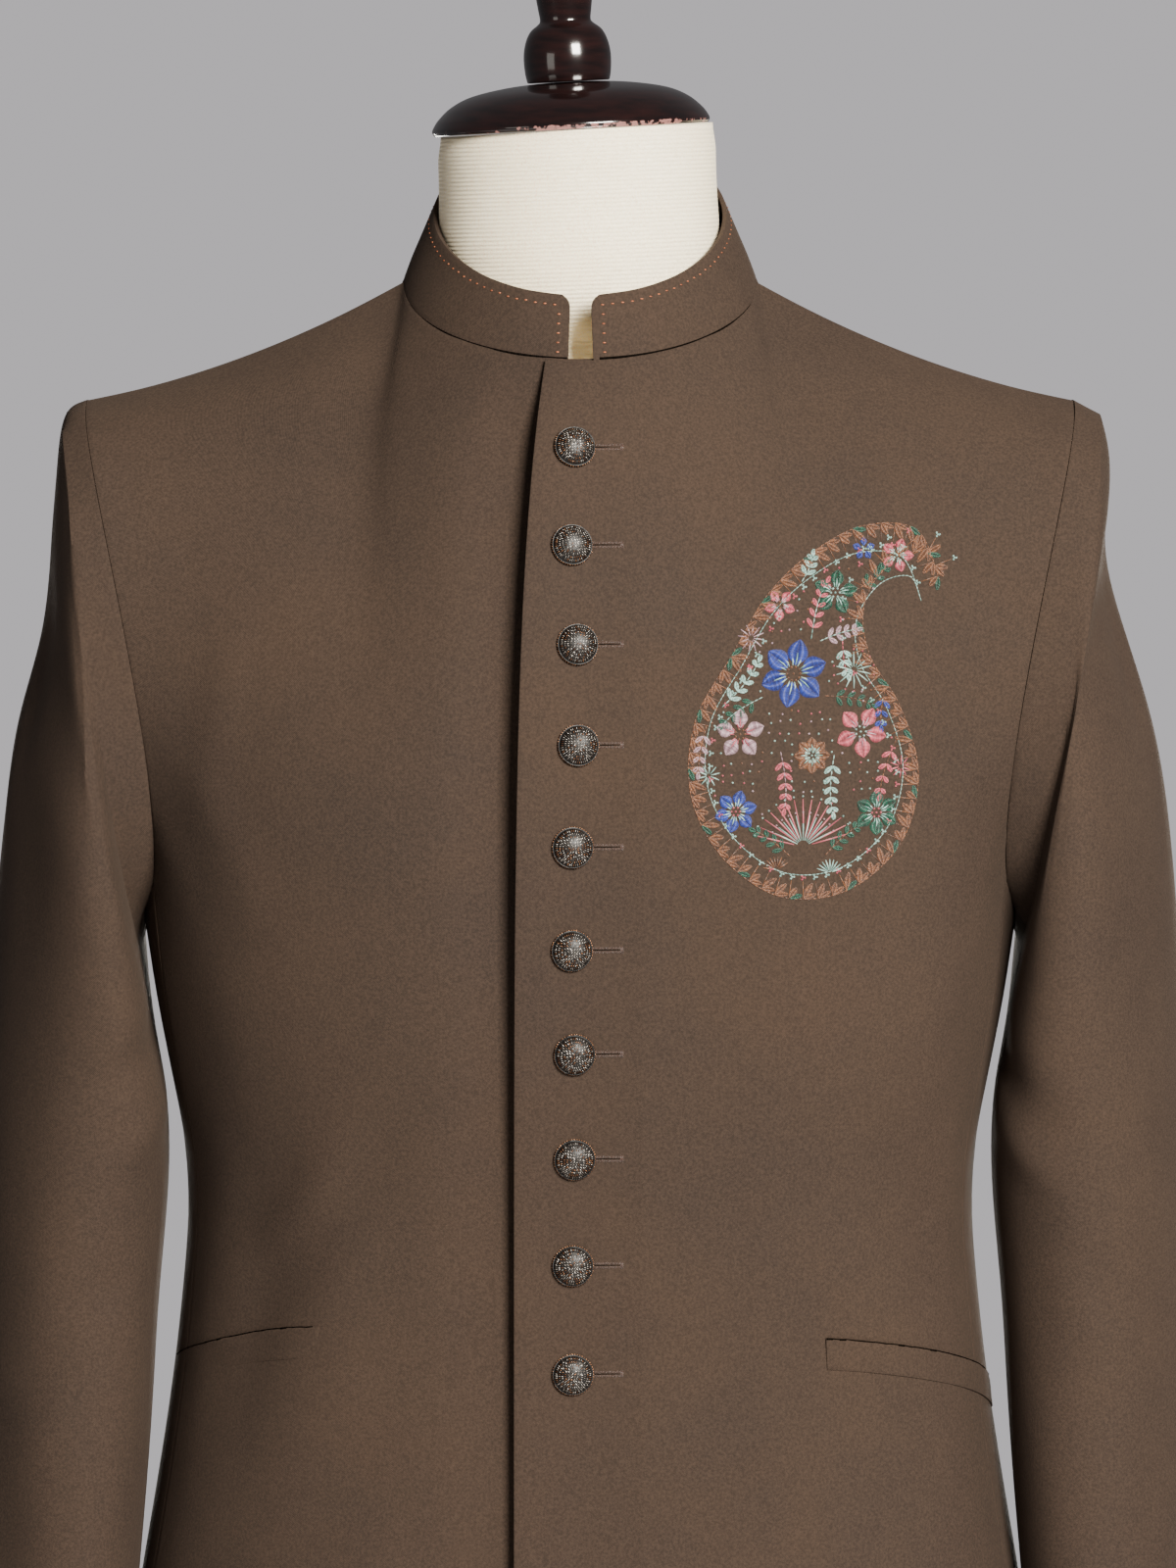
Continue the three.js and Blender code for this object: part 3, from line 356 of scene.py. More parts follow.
materials = {
    "suiting": suitingMaterial(suitingLook),
    "jersey": jerseyMaterial(jerseyLook),
    "lacquer": lacquerMaterial(lacquerLook),
    "silverBead": strandMaterial("silverBead", colourOf(84, 76, 70), colourOf(216, 208, 200), Metallic=1.0),
    "copperBead": strandMaterial("copperBead", colourOf(62, 38, 28), colourOf(164, 118, 86), Metallic=1.0),
    "pickThread": strandMaterial("pickThread", colourOf(140, 74, 44), colourOf(206, 124, 84)),
    # Painted shade: a near-black thread without shine, laid along grooves, slits and openings where only
    # shadow shows.
    "seamShade": strandMaterial(
        "seamShade", colourOf(10, 8, 6), colourOf(16, 12, 10), Specular_IOR_Level=0.0
    ),
    "buttonCloth": strandMaterial("buttonCloth", colourOf(13, 10, 9), colourOf(24, 18, 16)),
}
for name, (dark, light) in threadColours.items():
    materials[name] = strandMaterial(name, dark, light, Sheen_Weight=0.2)
print("materials made")


# Every piece rides on the one body.
def settle(piece, slotName, *nodes):
    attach(piece, "root")
    if nodes:
        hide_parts(*nodes)
    return piece


def paint(piece, name):
    piece.data.materials.clear()
    piece.data.materials.append(materials[name])
    piece.data.shade_smooth()


# The points of a piece, each with its place in millimetres.
def pointsOf(piece):
    for vertex in piece.data.vertices:
        yield vertex, *(c / mm for c in vertex.co)


def deselectAll():
    for other in bpy.context.selected_objects:
        other.select_set(False)


def applyModifiers(piece):
    deselectAll()
    bpy.context.view_layer.objects.active = piece
    piece.select_set(True)
    for modifier in list(piece.modifiers):
        bpy.ops.object.modifier_apply(modifier=modifier.name)


# The soft curves of the body and the sleeves come from the solids' own points: a merged copy of a solid is
# drawn as quads and subdivided, and its points are moved so that the smooth surface still passes through the
# solid's.
sharpEdge = math.radians(48)


def quadCopy(node, name):
    mesh = bpy.data.meshes.new(name)
    shape = bmesh.new()
    shape.from_mesh(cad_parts[node].data)
    bmesh.ops.remove_doubles(shape, verts=shape.verts, dist=0.01 * mm)
    bmesh.ops.join_triangles(
        shape,
        faces=shape.faces,
        cmp_seam=False,
        cmp_sharp=False,
        cmp_uvs=False,
        cmp_vcols=False,
        cmp_materials=False,
        angle_face_threshold=sharpEdge,
        angle_shape_threshold=math.radians(75),
    )
    crease = shape.edges.layers.float.new("crease_edge")
    for edge in shape.edges:
        if len(edge.link_faces) == 2 and edge.calc_face_angle(0) > sharpEdge:
            edge[crease] = 1.0
    shape.to_mesh(mesh)
    shape.free()
    piece = bpy.data.objects.new(name, mesh)
    bpy.context.collection.objects.link(piece)
    return piece


def subdivided(piece, levels):
    modifier = piece.modifiers.new("smooth", "SUBSURF")
    modifier.levels = levels
    modifier.render_levels = levels
    modifier.use_limit_surface = True
    return modifier


def passThroughSolid(piece, passes=4):
    wanted = [vertex.co.copy() for vertex in piece.data.vertices]
    modifier = subdivided(piece, 1)
    for _ in range(passes):
        graph = bpy.context.evaluated_depsgraph_get()
        smooth = piece.evaluated_get(graph).to_mesh()
        moves = [wanted[i] - smooth.vertices[i].co for i in range(len(wanted))]
        piece.evaluated_get(graph).to_mesh_clear()
        for vertex, move in zip(piece.data.vertices, moves):
            vertex.co += move
        piece.data.update()
        bpy.context.view_layer.update()
    piece.modifiers.remove(modifier)


def smoothCopy(node, name, levels):
    piece = quadCopy(node, name)
    passThroughSolid(piece)
    subdivided(piece, levels)
    applyModifiers(piece)
    return piece


def roundRims(piece, width, angle=sharpEdge):
    bevel = piece.modifiers.new("rims", "BEVEL")
    bevel.width = width
    bevel.segments = 2
    bevel.limit_method = "ANGLE"
    bevel.angle_limit = angle
    applyModifiers(piece)


# Creases of the worn cloth, in millimetres: from one place to another as seen from the front or the
# back, each with its own width and depth. A trough's depth is below 0, and z is above the floor.
bodyCreases = table(
    "side x0 z0 x1 z1 width depth",
    ("front", -66, 1018, -158, 876, 13, -2.0),
    ("front", -92, 1000, -164, 905, 10, 1.5),
    ("front", -120, 985, -178, 925, 8, -1.1),
    ("front", -58, 930, -140, 838, 15, 1.3),
    ("front", 118, 1010, 172, 905, 12, -1.5),
    ("front", 92, 960, 160, 862, 13, 1.2),
    ("front", -178, 1168, -140, 1072, 12, 1.6),
    ("front", 180, 1170, 150, 1080, 12, 1.4),
    ("front", -150, 1240, -172, 1120, 10, 1.2),
    ("front", 60, 1318, 150, 1270, 17, 0.8),
    ("front", -62, 1318, -140, 1262, 18, 0.9),
    ("front", 96, 820, 60, 660, 20, 1.4),
    ("front", -100, 830, -78, 660, 18, 1.5),
    ("back", -30, 1010, -150, 930, 14, -1.9),
    ("back", 24, 1004, 142, 936, 12, -1.6),
    ("back", -60, 960, -160, 892, 15, 1.5),
    ("back", 66, 955, 158, 880, 13, 1.3),
    ("back", -120, 1230, -166, 1090, 13, 1.7),
    ("back", 118, 1240, 162, 1100, 14, 1.5),
    ("back", -52, 1352, 56, 1350, 11, 1.0),
)
# Creases of a sleeve: degrees round it (0 outside, 90 front, 180 inside) and heights above the floor.
sleeveColumns = "turn0 z0 turn1 z1 width depth"
sleeveCreases = {
    "left": table(
        sleeveColumns,
        (70, 1262, 40, 1150, 13, -2.2),
        (48, 1240, 25, 1128, 11, 1.6),
        (150, 1035, 92, 978, 11, -2.4),
        (146, 1005, 96, 950, 9, 1.7),
        (104, 940, 60, 872, 12, -1.8),
        (40, 860, 66, 750, 15, 1.6),
        (310, 1210, 280, 1080, 13, -2.4),
        (230, 1010, 282, 940, 12, 2.0),
    ),
    "right": table(
        sleeveColumns,
        (74, 1255, 36, 1134, 14, -2.4),
        (50, 1225, 22, 1100, 12, 1.7),
        (146, 1046, 90, 992, 10, -2.1),
        (150, 1012, 100, 960, 10, 1.8),
        (118, 930, 70, 858, 13, -2.0),
        (30, 850, 58, 730, 16, 1.7),
        (306, 1218, 276, 1096, 12, -2.2),
        (226, 1004, 280, 930, 13, 2.1),
    ),
}
sleeveDepth = 1.35  # how much deeper all of them are than written
# Middle line of a worn sleeve, on the wearer's left, in millimetres.
sleeveLine = table(
    "z x y",
    (1310, 214, 3),
    (1180, 225, 3),
    (1060, 233, 4),
    (940, 238, 1),
    (800, 241, -14),
    (680, 243, -28),
)


def middleOfSleeve(z):
    rows = sleeveLine
    for high, low in zip(rows, rows[1:]):
        if z >= low["z"] or low is rows[-1]:
            share = min(1, max(0, (high["z"] - z) / (high["z"] - low["z"])))
            return [high[k] + (low[k] - high[k]) * share for k in ("x", "y")]


# How near a place is to a crease's line: 1 on it, fading to its sides and towards its ends.
def nearLine(x, z, crease, start, end):
    (x0, z0), (x1, z1) = start, end
    dx, dz = x1 - x0, z1 - z0
    along = ((x - x0) * dx + (z - z0) * dz) / (dx * dx + dz * dz)
    if along <= 0 or along >= 1:
        return 0
    off = ((x - x0) * dz - (z - z0) * dx) / math.hypot(dx, dz) / crease["width"]
    ripple = 1 + 0.25 * math.sin(9 * along + crease["width"])  # so that no crease is quite even
    return math.sin(math.pi * along) ** 1.3 * math.exp(-off * off) * ripple


bodyHalf = {"x": 200, "y": 126}  # of the oval that the body is cut round


def outwardOf(x, y):
    return Vector((x / bodyHalf["x"] ** 2, y / bodyHalf["y"] ** 2, 0)).normalized()


def creaseBody(piece):
    for vertex, x, y, z in pointsOf(piece):
        side = "front" if y < 0 else "back"
        lift = 0
        for crease in bodyCreases:
            if crease["side"] == side:
                near = nearLine(x, z, crease, (crease["x0"], crease["z0"]), (crease["x1"], crease["z1"]))
                lift += crease["depth"] * near
        vertex.co += outwardOf(x, y) * lift * mm


# The upper front's edge stands away from the lower front, and the lower one and the form dip beside it. Both
# are strongest on the chest and fade out just below the collar.
edgeRoll = {"atNeck": 15, "atHem": 29.5, "neck": 1336, "fade": 90, "lift": 5.6, "lowLift": 2.8, "reach": 24}
edgeDip = {"depth": 4.8, "lowDepth": 2.4, "beside": 5, "reach": 21, "formMore": 0.8}
edgeHeights = {"waist": 930, "rise": 250, "top": 1338, "fade": 40}


def easeIn(share):
    share = min(1, max(0, share))
    return share * share * (3 - 2 * share)


def frontEdgeAt(z):
    fade = math.exp(-max(0, edgeRoll["neck"] - z) / edgeRoll["fade"])
    return -(edgeRoll["atHem"] + (edgeRoll["atNeck"] - edgeRoll["atHem"]) * fade)


def strengthAt(z, high, low):
    strength = low + (high - low) * easeIn((z - edgeHeights["waist"]) / edgeHeights["rise"])
    return strength * easeIn((edgeHeights["top"] - z) / edgeHeights["fade"])


def rollEdge(piece):
    for vertex, x, _, z in pointsOf(piece):
        near = math.exp(-((max(0, x - frontEdgeAt(z)) / edgeRoll["reach"]) ** 2))
        vertex.co.y -= strengthAt(z, edgeRoll["lift"], edgeRoll["lowLift"]) * near * mm


def dipBesideEdge(piece, more=0.0):
    for vertex, x, y, z in pointsOf(piece):
        if y < 0:
            near = math.exp(-(((x - frontEdgeAt(z) + edgeDip["beside"]) / edgeDip["reach"]) ** 2))
            depth = strengthAt(z, edgeDip["depth"], edgeDip["lowDepth"])
            vertex.co.y += (depth + (more if depth > 0.1 else 0)) * near * mm


# A welt is pressed nearly flush, most at its sewn low edge. The wearer's right one falls more to the side: by
# "down" all along, and from "start" on, over a "run", by up to "fall".
weltLook = {
    "top": 0.7, "low": 1.25, "tall": 14.0, "column": 4, "start": 116.0, "run": 72.0, "down": 1.4, "fall": 8.6,
}


def pressWelt(piece, hand):
    tops = {}
    for _, x, _, z in pointsOf(piece):
        column = round(x / weltLook["column"])
        tops[column] = max(tops.get(column, 0), z)
    for vertex, x, y, z in pointsOf(piece):
        below = min(1, (tops[round(x / weltLook["column"])] - z) / weltLook["tall"])
        press = weltLook["top"] + (weltLook["low"] - weltLook["top"]) * below
        vertex.co -= outwardOf(x, y) * press * mm
        if hand == "right":
            along = min(1.1, max(0, (abs(x) - weltLook["start"]) / weltLook["run"]))
            vertex.co.z -= (weltLook["down"] + weltLook["fall"] * along**1.7) * mm


# The collar's low edge meets the neckline, which falls from the nape to the front.
collarLine = {"nape": 1400, "frontDrop": 64, "sideDrop": 31.5, "close": 1.2, "reach": 5}


def collarBase(x, y):
    forward = -y / math.hypot(x, y)
    drop = collarLine["frontDrop"] * max(0, forward) + collarLine["sideDrop"] * (1 - abs(forward))
    return collarLine["nape"] - drop


def closeCollar(piece):
    for vertex, x, y, z in pointsOf(piece):
        near = math.exp(-(((z - collarBase(x, y)) / collarLine["reach"]) ** 2))
        vertex.co.z -= collarLine["close"] * mm * near


# The two backs meet in their seam, where a share of the gap is left.
backSeam = {"reach": 0.7, "share": 0.3}


def closeBackSeam(piece):
    for vertex in piece.data.vertices:
        if vertex.co.y > 0 and abs(vertex.co.x) < backSeam["reach"] * mm:
            vertex.co.x *= backSeam["share"]


def creaseSleeve(piece, hand):
    flip = 1 if hand == "left" else -1
    for vertex, x, y, z in pointsOf(piece):
        middleX, middleY = middleOfSleeve(z)
        outward = Vector((x * flip - middleX, y - middleY, 0))
        turn = math.degrees(math.atan2(-outward.y, outward.x)) % 360
        perDegree = outward.length * math.pi / 180
        lift = 0
        for crease in sleeveCreases[hand]:
            start = (crease["turn0"] * perDegree, crease["z0"])
            end = (crease["turn1"] * perDegree, crease["z1"])
            lift += crease["depth"] * nearLine(turn * perDegree, z, crease, start, end)
        outward.normalize()
        vertex.co += Vector((outward.x * flip, outward.y, 0)) * lift * sleeveDepth * mm


# Flat coordinates in metres: round a middle line, and up.
def layFlat(piece, middle, radius):
    layer = piece.data.uv_layers.new(name="flat")
    for polygon in piece.data.polygons:
        turns = []
        for index in polygon.vertices:
            place = piece.data.vertices[index].co
            x0, y0 = middle(place)
            turns.append(math.atan2(place.x - x0, -(place.y - y0)))
        for loop, index, turn in zip(polygon.loop_indices, polygon.vertices, turns):
            nearer = turn + 2 * math.pi * round((turns[0] - turn) / (2 * math.pi))
            layer.data[loop].uv = (nearer * radius, piece.data.vertices[index].co.z)


def bodyMiddle(place):
    return 0, 0


def armMiddle(place):
    x, y = middleOfSleeve(place.z / mm)
    return math.copysign(x, place.x) * mm, y * mm


# Cut sizes in metres: width across and length down the piece, and the area of its shape.
clothPieces = table(
    "node flat area kind levels",
    ("front_left", (0.292, 0.755), 0.178, "body", 3),
    ("front_right", (0.292, 0.755), 0.177, "body", 3),
    ("side_left", (0.118, 0.450), 0.0475, "body", 2),
    ("side_right", (0.118, 0.450), 0.0475, "body", 2),
    ("back_left", (0.260, 0.785), 0.158, "body", 2),
    ("back_right", (0.260, 0.785), 0.158, "body", 2),
    ("sleeve_top_left", (0.285, 0.690), 0.151, "sleeve", 3),
    ("sleeve_top_right", (0.285, 0.690), 0.151, "sleeve", 3),
    ("sleeve_under_left", (0.125, 0.520), 0.0485, "sleeve", 2),
    ("sleeve_under_right", (0.125, 0.520), 0.0485, "sleeve", 2),
    ("collar", (0.445, 0.039), 0.0164, "collar", 2),
    ("pocket_welt_left", (0.125, 0.0165), 0.0020, "welt", 2),
    ("pocket_welt_right", (0.125, 0.0165), 0.0020, "welt", 2),
)
# The rounding of a piece's rims in millimetres, and the radius in metres that its weave is laid flat from.
clothKinds = {
    "body": {"rim": 0.45, "radius": 0.17},
    "sleeve": {"rim": 0.45, "radius": 0.07},
    "collar": {"rim": 0.7, "radius": 0.08},
    "welt": {"rim": 0.4, "radius": 0.17},
}

cloth = {}
for facts in clothPieces:
    node, kind = facts["node"], facts["kind"]
    hand = node.rsplit("_", 1)[-1]
    piece = smoothCopy(node, node + "_cloth", facts["levels"])
    if kind in ("body", "welt"):
        creaseBody(piece)
    if kind == "sleeve":
        creaseSleeve(piece, hand)
    roundRims(piece, clothKinds[kind]["rim"] * mm)
    if node.startswith("back"):
        closeBackSeam(piece)
    if node == "front_left":
        rollEdge(piece)
    if node == "front_right":
        dipBesideEdge(piece)
    if kind == "welt":
        pressWelt(piece, hand)
    if kind == "collar":
        closeCollar(piece)
    layFlat(piece, armMiddle if kind == "sleeve" else bodyMiddle, clothKinds[kind]["radius"])
    paint(piece, "suiting")
    settle(piece, "suiting", node)
    cloth[node] = piece
    area = sum(polygon.area for polygon in piece.data.polygons) / 2
    print(node, "faces", len(piece.data.polygons), "half area", round(area, 4))
print("cloth made")


# The dress form, smooth on its solid's own points. Its jersey turns in under the cap, and lies back in the
# shade behind the gap of the collar.
formLook = {"neckTop": 1438.0, "slant": 0.0536, "round": 12.0, "in": 1.3, "low": 1300, "core": 40}
throat = {"x": -1, "z": 1336.0, "wide": 24, "tall": 15, "in": 32.0}


def shapeNeck(piece):
    for vertex, x, y, z in pointsOf(piece):
        if z < formLook["low"] or math.hypot(x, y) < formLook["core"]:
            continue
        under = formLook["neckTop"] + formLook["slant"] * x - z
        turnIn = formLook["in"] * easeIn(1 - under / formLook["round"])
        vertex.co -= Vector((x, y, 0)).normalized() * turnIn * mm
        if y < 0:
            aside, above = (x - throat["x"]) / throat["wide"], (z - throat["z"]) / throat["tall"]
            vertex.co.y += throat["in"] * math.exp(-(aside**2) - above**2) * mm


dressForm = smoothCopy("dress_form", "dress_form_jersey", 2)
dipBesideEdge(dressForm, edgeDip["formMore"])
shapeNeck(dressForm)
paint(dressForm, "jersey")
settle(dressForm, "jersey", "dress_form")
print("form made, faces", len(dressForm.data.polygons))


# Turned wood: a circle that is drawn out ring by ring along its profile of radii and heights.
def turnedWood(name, profile, place, lean=0.0, rim=None):
    deselectAll()
    radius, height = profile[0]
    bpy.ops.mesh.primitive_circle_add(
        vertices=72, radius=radius * mm, fill_type="NGON", location=(0, 0, height * mm)
    )
    piece = bpy.context.object
    piece.name = name
    bpy.ops.object.transform_apply(location=True, rotation=True, scale=True)
    bpy.ops.object.mode_set(mode="EDIT")
    bpy.ops.mesh.select_all(action="SELECT")
    for nextRadius, nextHeight in profile[1:]:
        rise = (0, 0, (nextHeight - height) * mm)
        bpy.ops.mesh.extrude_region_move(TRANSFORM_OT_translate={"value": rise})
        share = nextRadius / radius
        bpy.ops.transform.resize(value=(share, share, 1), center_override=(0, 0, nextHeight * mm))
        radius, height = nextRadius, nextHeight
    bpy.ops.mesh.select_all(action="SELECT")
    bpy.ops.mesh.remove_doubles(threshold=0.002 * mm)
    bpy.ops.mesh.normals_make_consistent(inside=False)
    bpy.ops.object.mode_set(mode="OBJECT")
    roundRims(piece, 0.5 * mm, math.radians(40))
    wear = piece.data.attributes.new("rimWear", "FLOAT", "POINT")
    if rim:
        for (_, x, y, z), value in zip(pointsOf(piece), wear.data):
            isRim = math.hypot(x, y) > rim["from"] and z < rim["height"]
            value.value = (0.55 + 0.45 * math.sin(2.2 * math.atan2(x, -y) + 0.6)) if isRim else 0
    piece.data.transform(Matrix.Translation(Vector(place) * mm) @ Matrix.Rotation(-lean, 4, "Y"))
    paint(piece, "lacquer")
    return piece


# A smooth curve through the rows of a profile or outline.
def curved(rows, steps=4):
    made = []
    for i in range(len(rows) - 1):
        before, start, end, after = (rows[max(0, min(len(rows) - 1, i + k))] for k in (-1, 0, 1, 2))
        for step in range(steps):
            t = step / steps
            place = []
            for a, b, c, d in zip(before, start, end, after):
                bend = (2 * a - 5 * b + 4 * c - d) * t * t + (3 * b - a - 3 * c + d) * t**3
                place.append(0.5 * (2 * b + (c - a) * t + bend))
            made.append(tuple(place))
    return [*made, rows[-1]]


# The neck cap leans with the neck's slanted top, and the finial stands on it.
cap = {"radius": 63.6, "height": 21.5, "x": -4.1, "z": 1438.08, "lean": math.atan(formLook["slant"])}
capRows = [
    (0.985, 0), (1, 0.09), (0.985, 0.2), (0.945, 0.36), (0.85, 0.6), (0.7, 0.8), (0.45, 0.94), (0.2, 1),
    (0.02, 1),
]
capProfile = [(radius * cap["radius"], height * cap["height"]) for radius, height in curved(capRows)]
neckCap = turnedWood(
    "neck_cap_turned", capProfile, (cap["x"], 0, cap["z"]), cap["lean"], {"from": 62, "height": 2.2}
)
settle(neckCap, "lacquered_wood", "neck_cap")

finialRows = [
    (18.8, 0), (19.6, 4), (20, 10), (19.6, 15), (18.2, 20), (16, 23.7), (12.6, 26.4), (11.6, 28.2),
    (12.2, 33), (13.3, 41), (14.6, 50), (15.2, 58), (14, 65.5), (9.5, 70.5), (4, 73), (0.1, 73.6),
]
finialUp = cap["height"] + 0.3
finialPlace = (cap["x"] - math.sin(cap["lean"]) * finialUp, 0, cap["z"] + math.cos(cap["lean"]) * finialUp)
finial = turnedWood("finial_turned", curved(finialRows), finialPlace, cap["lean"])
settle(finial, "lacquered_wood", "finial")

# The pole with its flange under the form, and the foot.
poleRows = [
    (24, 34), (25, 44), (19, 60), (15, 78), (15, 558), (19, 572), (17, 588), (22, 606), (46, 618), (46, 634),
]
settle(turnedWood("stand_pole_turned", poleRows, (0, 0, 0)), "lacquered_wood", "stand_pole")
footRows = [(190, 0), (190, 9), (183, 15), (156, 20), (95, 24), (46, 27), (34, 34)]
settle(turnedWood("stand_foot_turned", footRows, (0, 0, 0)), "lacquered_wood", "stand_foot")
print("wood made")


# Small stitched and beaded work is gathered as strands, each a closed four-sided bead of thread.
def newWork():
    return {"points": [], "faces": [], "colours": [], "tones": []}


def addStrand(work, places, across, out, width, height, colour, tone, sunk=0.05):
    first = len(work["points"])
    last = len(places) - 1
    for i, place in enumerate(places):
        thin = 0.55 if i in (0, last) else 1.0
        side = across * (width * thin / 2)
        work["points"] += [
            place - out * sunk * mm - side,
            place - out * sunk * mm + side,
            place + out * height * thin + side * 0.5,
            place + out * height * thin - side * 0.5,
        ]
        work["tones"] += [tone] * 4
    for i in range(last):
        a, b = first + 4 * i, first + 4 * i + 4
        for k in range(4):
            n = (k + 1) % 4
            work["faces"].append((a + k, a + n, b + n, b + k))
            work["colours"].append(colour)
    end = first + 4 * last
    work["faces"] += [(first + 3, first + 2, first + 1, first), (end, end + 1, end + 2, end + 3)]
    work["colours"] += [colour, colour]


def workPiece(name, work, palette):
    mesh = bpy.data.meshes.new(name)
    mesh.from_pydata([tuple(p) for p in work["points"]], [], work["faces"])
    for colour in palette:
        mesh.materials.append(materials[colour])
    for polygon, colour in zip(mesh.polygons, work["colours"]):
        polygon.material_index = palette.index(colour)
    tones = mesh.attributes.new("tone", "FLOAT", "POINT")
    tones.data.foreach_set("value", work["tones"])
    shape = bmesh.new()
    shape.from_mesh(mesh)
    bmesh.ops.recalc_face_normals(shape, faces=shape.faces)
    shape.to_mesh(mesh)
    shape.free()
    mesh.shade_smooth()
    piece = bpy.data.objects.new(name, mesh)
    bpy.context.collection.objects.link(piece)
    print(name, "faces", len(mesh.polygons))
    return piece


def surfaceOf(piece):
    return BVHTree.FromObject(piece, bpy.context.evaluated_depsgraph_get())


# The place on a surface that is seen from the front at x and z, in millimetres, and the way it faces.
def seenOn(surface, x, z):
    return surface.ray_cast(Vector((x * mm, -400 * mm, z * mm)), Vector((0, 1, 0)))[:2]


frontSurface = surfaceOf(cloth["front_left"])


def onFront(x, z):
    return seenOn(frontSurface, x, z)


# Embroidery lies in flat coordinates of the chest: x to the wearer's left and z up, in millimetres from its
# middle. A stitch's puff is how far its middle stands off the cloth.
chest = {"x": 101.0, "z": 1175.0, "stitch": 0.62, "puff": 0.5, "thread": 0.32}


def onChest(x, z):
    return onFront(chest["x"] + x, chest["z"] + z)


def stitch(work, start, end, colour, puff=None, width=None, bend=0.0, steps=2):
    (x0, z0), (x1, z1) = start, end
    length = math.hypot(x1 - x0, z1 - z0)
    if length < 0.3:
        return
    sideways = Vector((-(z1 - z0) / length, 0, (x1 - x0) / length))
    places = []
    for i in range(steps + 1):
        t = i / steps
        bow = bend * math.sin(math.pi * t)
        place, out = onChest(x0 + (x1 - x0) * t + sideways.x * bow, z0 + (z1 - z0) * t + sideways.z * bow)
        lift = (chest["puff"] if puff is None else puff) * math.sin(math.pi * t) ** 0.7
        places.append(place + out * lift * mm * 0.6)
    width = (width or chest["stitch"]) * mm
    addStrand(work, places, sideways, out, width, chest["thread"] * mm, colour, random.uniform(0.05, 1.0))


# A petal or leaf in satin stitch: slanted strands from a middle vein to its two edges.
satin = {"pitch": 0.46, "slant": 0.9, "width": 0.66}


def petal(work, x, z, turn, length, width, colour):
    s, c = sinCos(turn)
    count = max(4, round(length / satin["pitch"]))
    for i in range(count):
        t = (i + 0.5) / count
        half = width / 2 * math.sin(math.pi * min(1, t**0.85)) ** 0.75
        lean = satin["slant"] * (1 - t)
        for side in (-1, 1):
            a = t * length
            b = min(length, a + lean)
            start = (x + s * a, z + c * a)
            end = (x + s * b + side * half * c, z + c * b - side * half * s)
            stitch(work, start, end, colour, width=satin["width"])


# A flower of petals, with three short stitches of a second colour on each, and knots at its heart.
flower = {"inner": 0.24, "petalWidth": 0.62, "lean": 17, "reach": 0.62, "sideReach": 0.5, "heart": 0.2}


def blossom(work, x, z, radius, petals, colour, heart, second, turn):
    for i in range(petals):
        angle = turn + 360 * i / petals
        s, c = sinCos(angle)
        inner = radius * flower["inner"]
        width = radius * flower["petalWidth"]
        petal(work, x + s * inner, z + c * inner, angle, radius - inner, width, colour)
        for lean in (-flower["lean"], 0, flower["lean"]) if second else ():
            s, c = sinCos(angle + lean)
            reach = radius * (flower["sideReach"] if lean else flower["reach"])
            start, end = (x + s * inner, z + c * inner), (x + s * reach, z + c * reach)
            stitch(work, start, end, second, puff=1.1, width=0.7)
    knots(work, x, z, radius * flower["heart"], heart)


def knots(work, x, z, radius, colour):
    knot(work, x, z, colour)
    count = max(3, round(radius * 3.2))
    for i in range(count):
        angle = 2 * math.pi * i / count
        knot(work, x + radius * math.cos(angle), z + radius * math.sin(angle), colour)


def knot(work, x, z, colour, size=1.0):
    for turn in (0, 60, 120):
        s, c = sinCos(turn)
        dx, dz = 0.5 * size * c, 0.5 * size * s
        stitch(work, (x - dx, z - dz), (x + dx, z + dz), colour, puff=0.75, width=0.6 * size)


# Rays of straight stitches, as a daisy or a half-open fan.
def rays(work, x, z, radius, count, colour, tip, turn, sweep):
    inner = radius * 0.2
    steps = count if sweep == 360 else count - 1
    for i in range(count):
        s, c = sinCos(turn + sweep * i / steps)
        start = (x + s * inner, z + c * inner)
        stitch(work, start, (x + s * radius, z + c * radius), colour, puff=0.4, width=0.75)
        if tip:
            knot(work, x + s * (radius + 1.2), z + c * (radius + 1.2), tip, 0.9)


# A stem in back stitch along a bow, with pairs of small leaves, smaller towards its tip.
leafLook = {"length": 5.2, "width": 2.2, "spread": 46, "stitch": 2.1}


def sprig(work, x, z, turn, length, bend, stem, leaf, pairs):
    s, c = sinCos(turn)

    def place(t):
        bow = bend * math.sin(math.pi * t / 2)
        return x + s * length * t + c * bow, z + c * length * t - s * bow

    count = max(3, round(length / leafLook["stitch"]))
    for i in range(count):
        stitch(work, place(i / count), place((i + 0.86) / count), stem, puff=0.25)
    for i in range(1, pairs + 1):
        t = i / (pairs + 0.4)
        px, pz = place(t)
        turnBack = bend * 1.2 * (1 - t)
        heading = math.degrees(math.atan2(s * length + c * turnBack, c * length - s * turnBack))
        size = leafLook["length"] * (1.1 - 0.45 * t)
        for side in (-leafLook["spread"], leafLook["spread"]):
            petal(work, px, pz, heading + side, size, leafLook["width"], leaf)
    px, pz = place(1.0)
    petal(work, px, pz, turn, leafLook["length"] * 0.8, leafLook["width"], leaf)


# The border: a mango drawn with a few corners, its tip curling over to the wearer's left.
mangoCorners = [
    (-34, 30), (-50, 2), (-52, -30), (-38, -58), (-12, -76), (18, -74), (42, -54), (50, -24), (42, 6),
    (28, 30), (26, 52), (38, 70), (54, 74), (60, 62),
]
mangoBack = [(-34, 30), (-18, 56), (2, 74), (26, 86), (50, 84), (60, 62)]
innerScale = 0.86

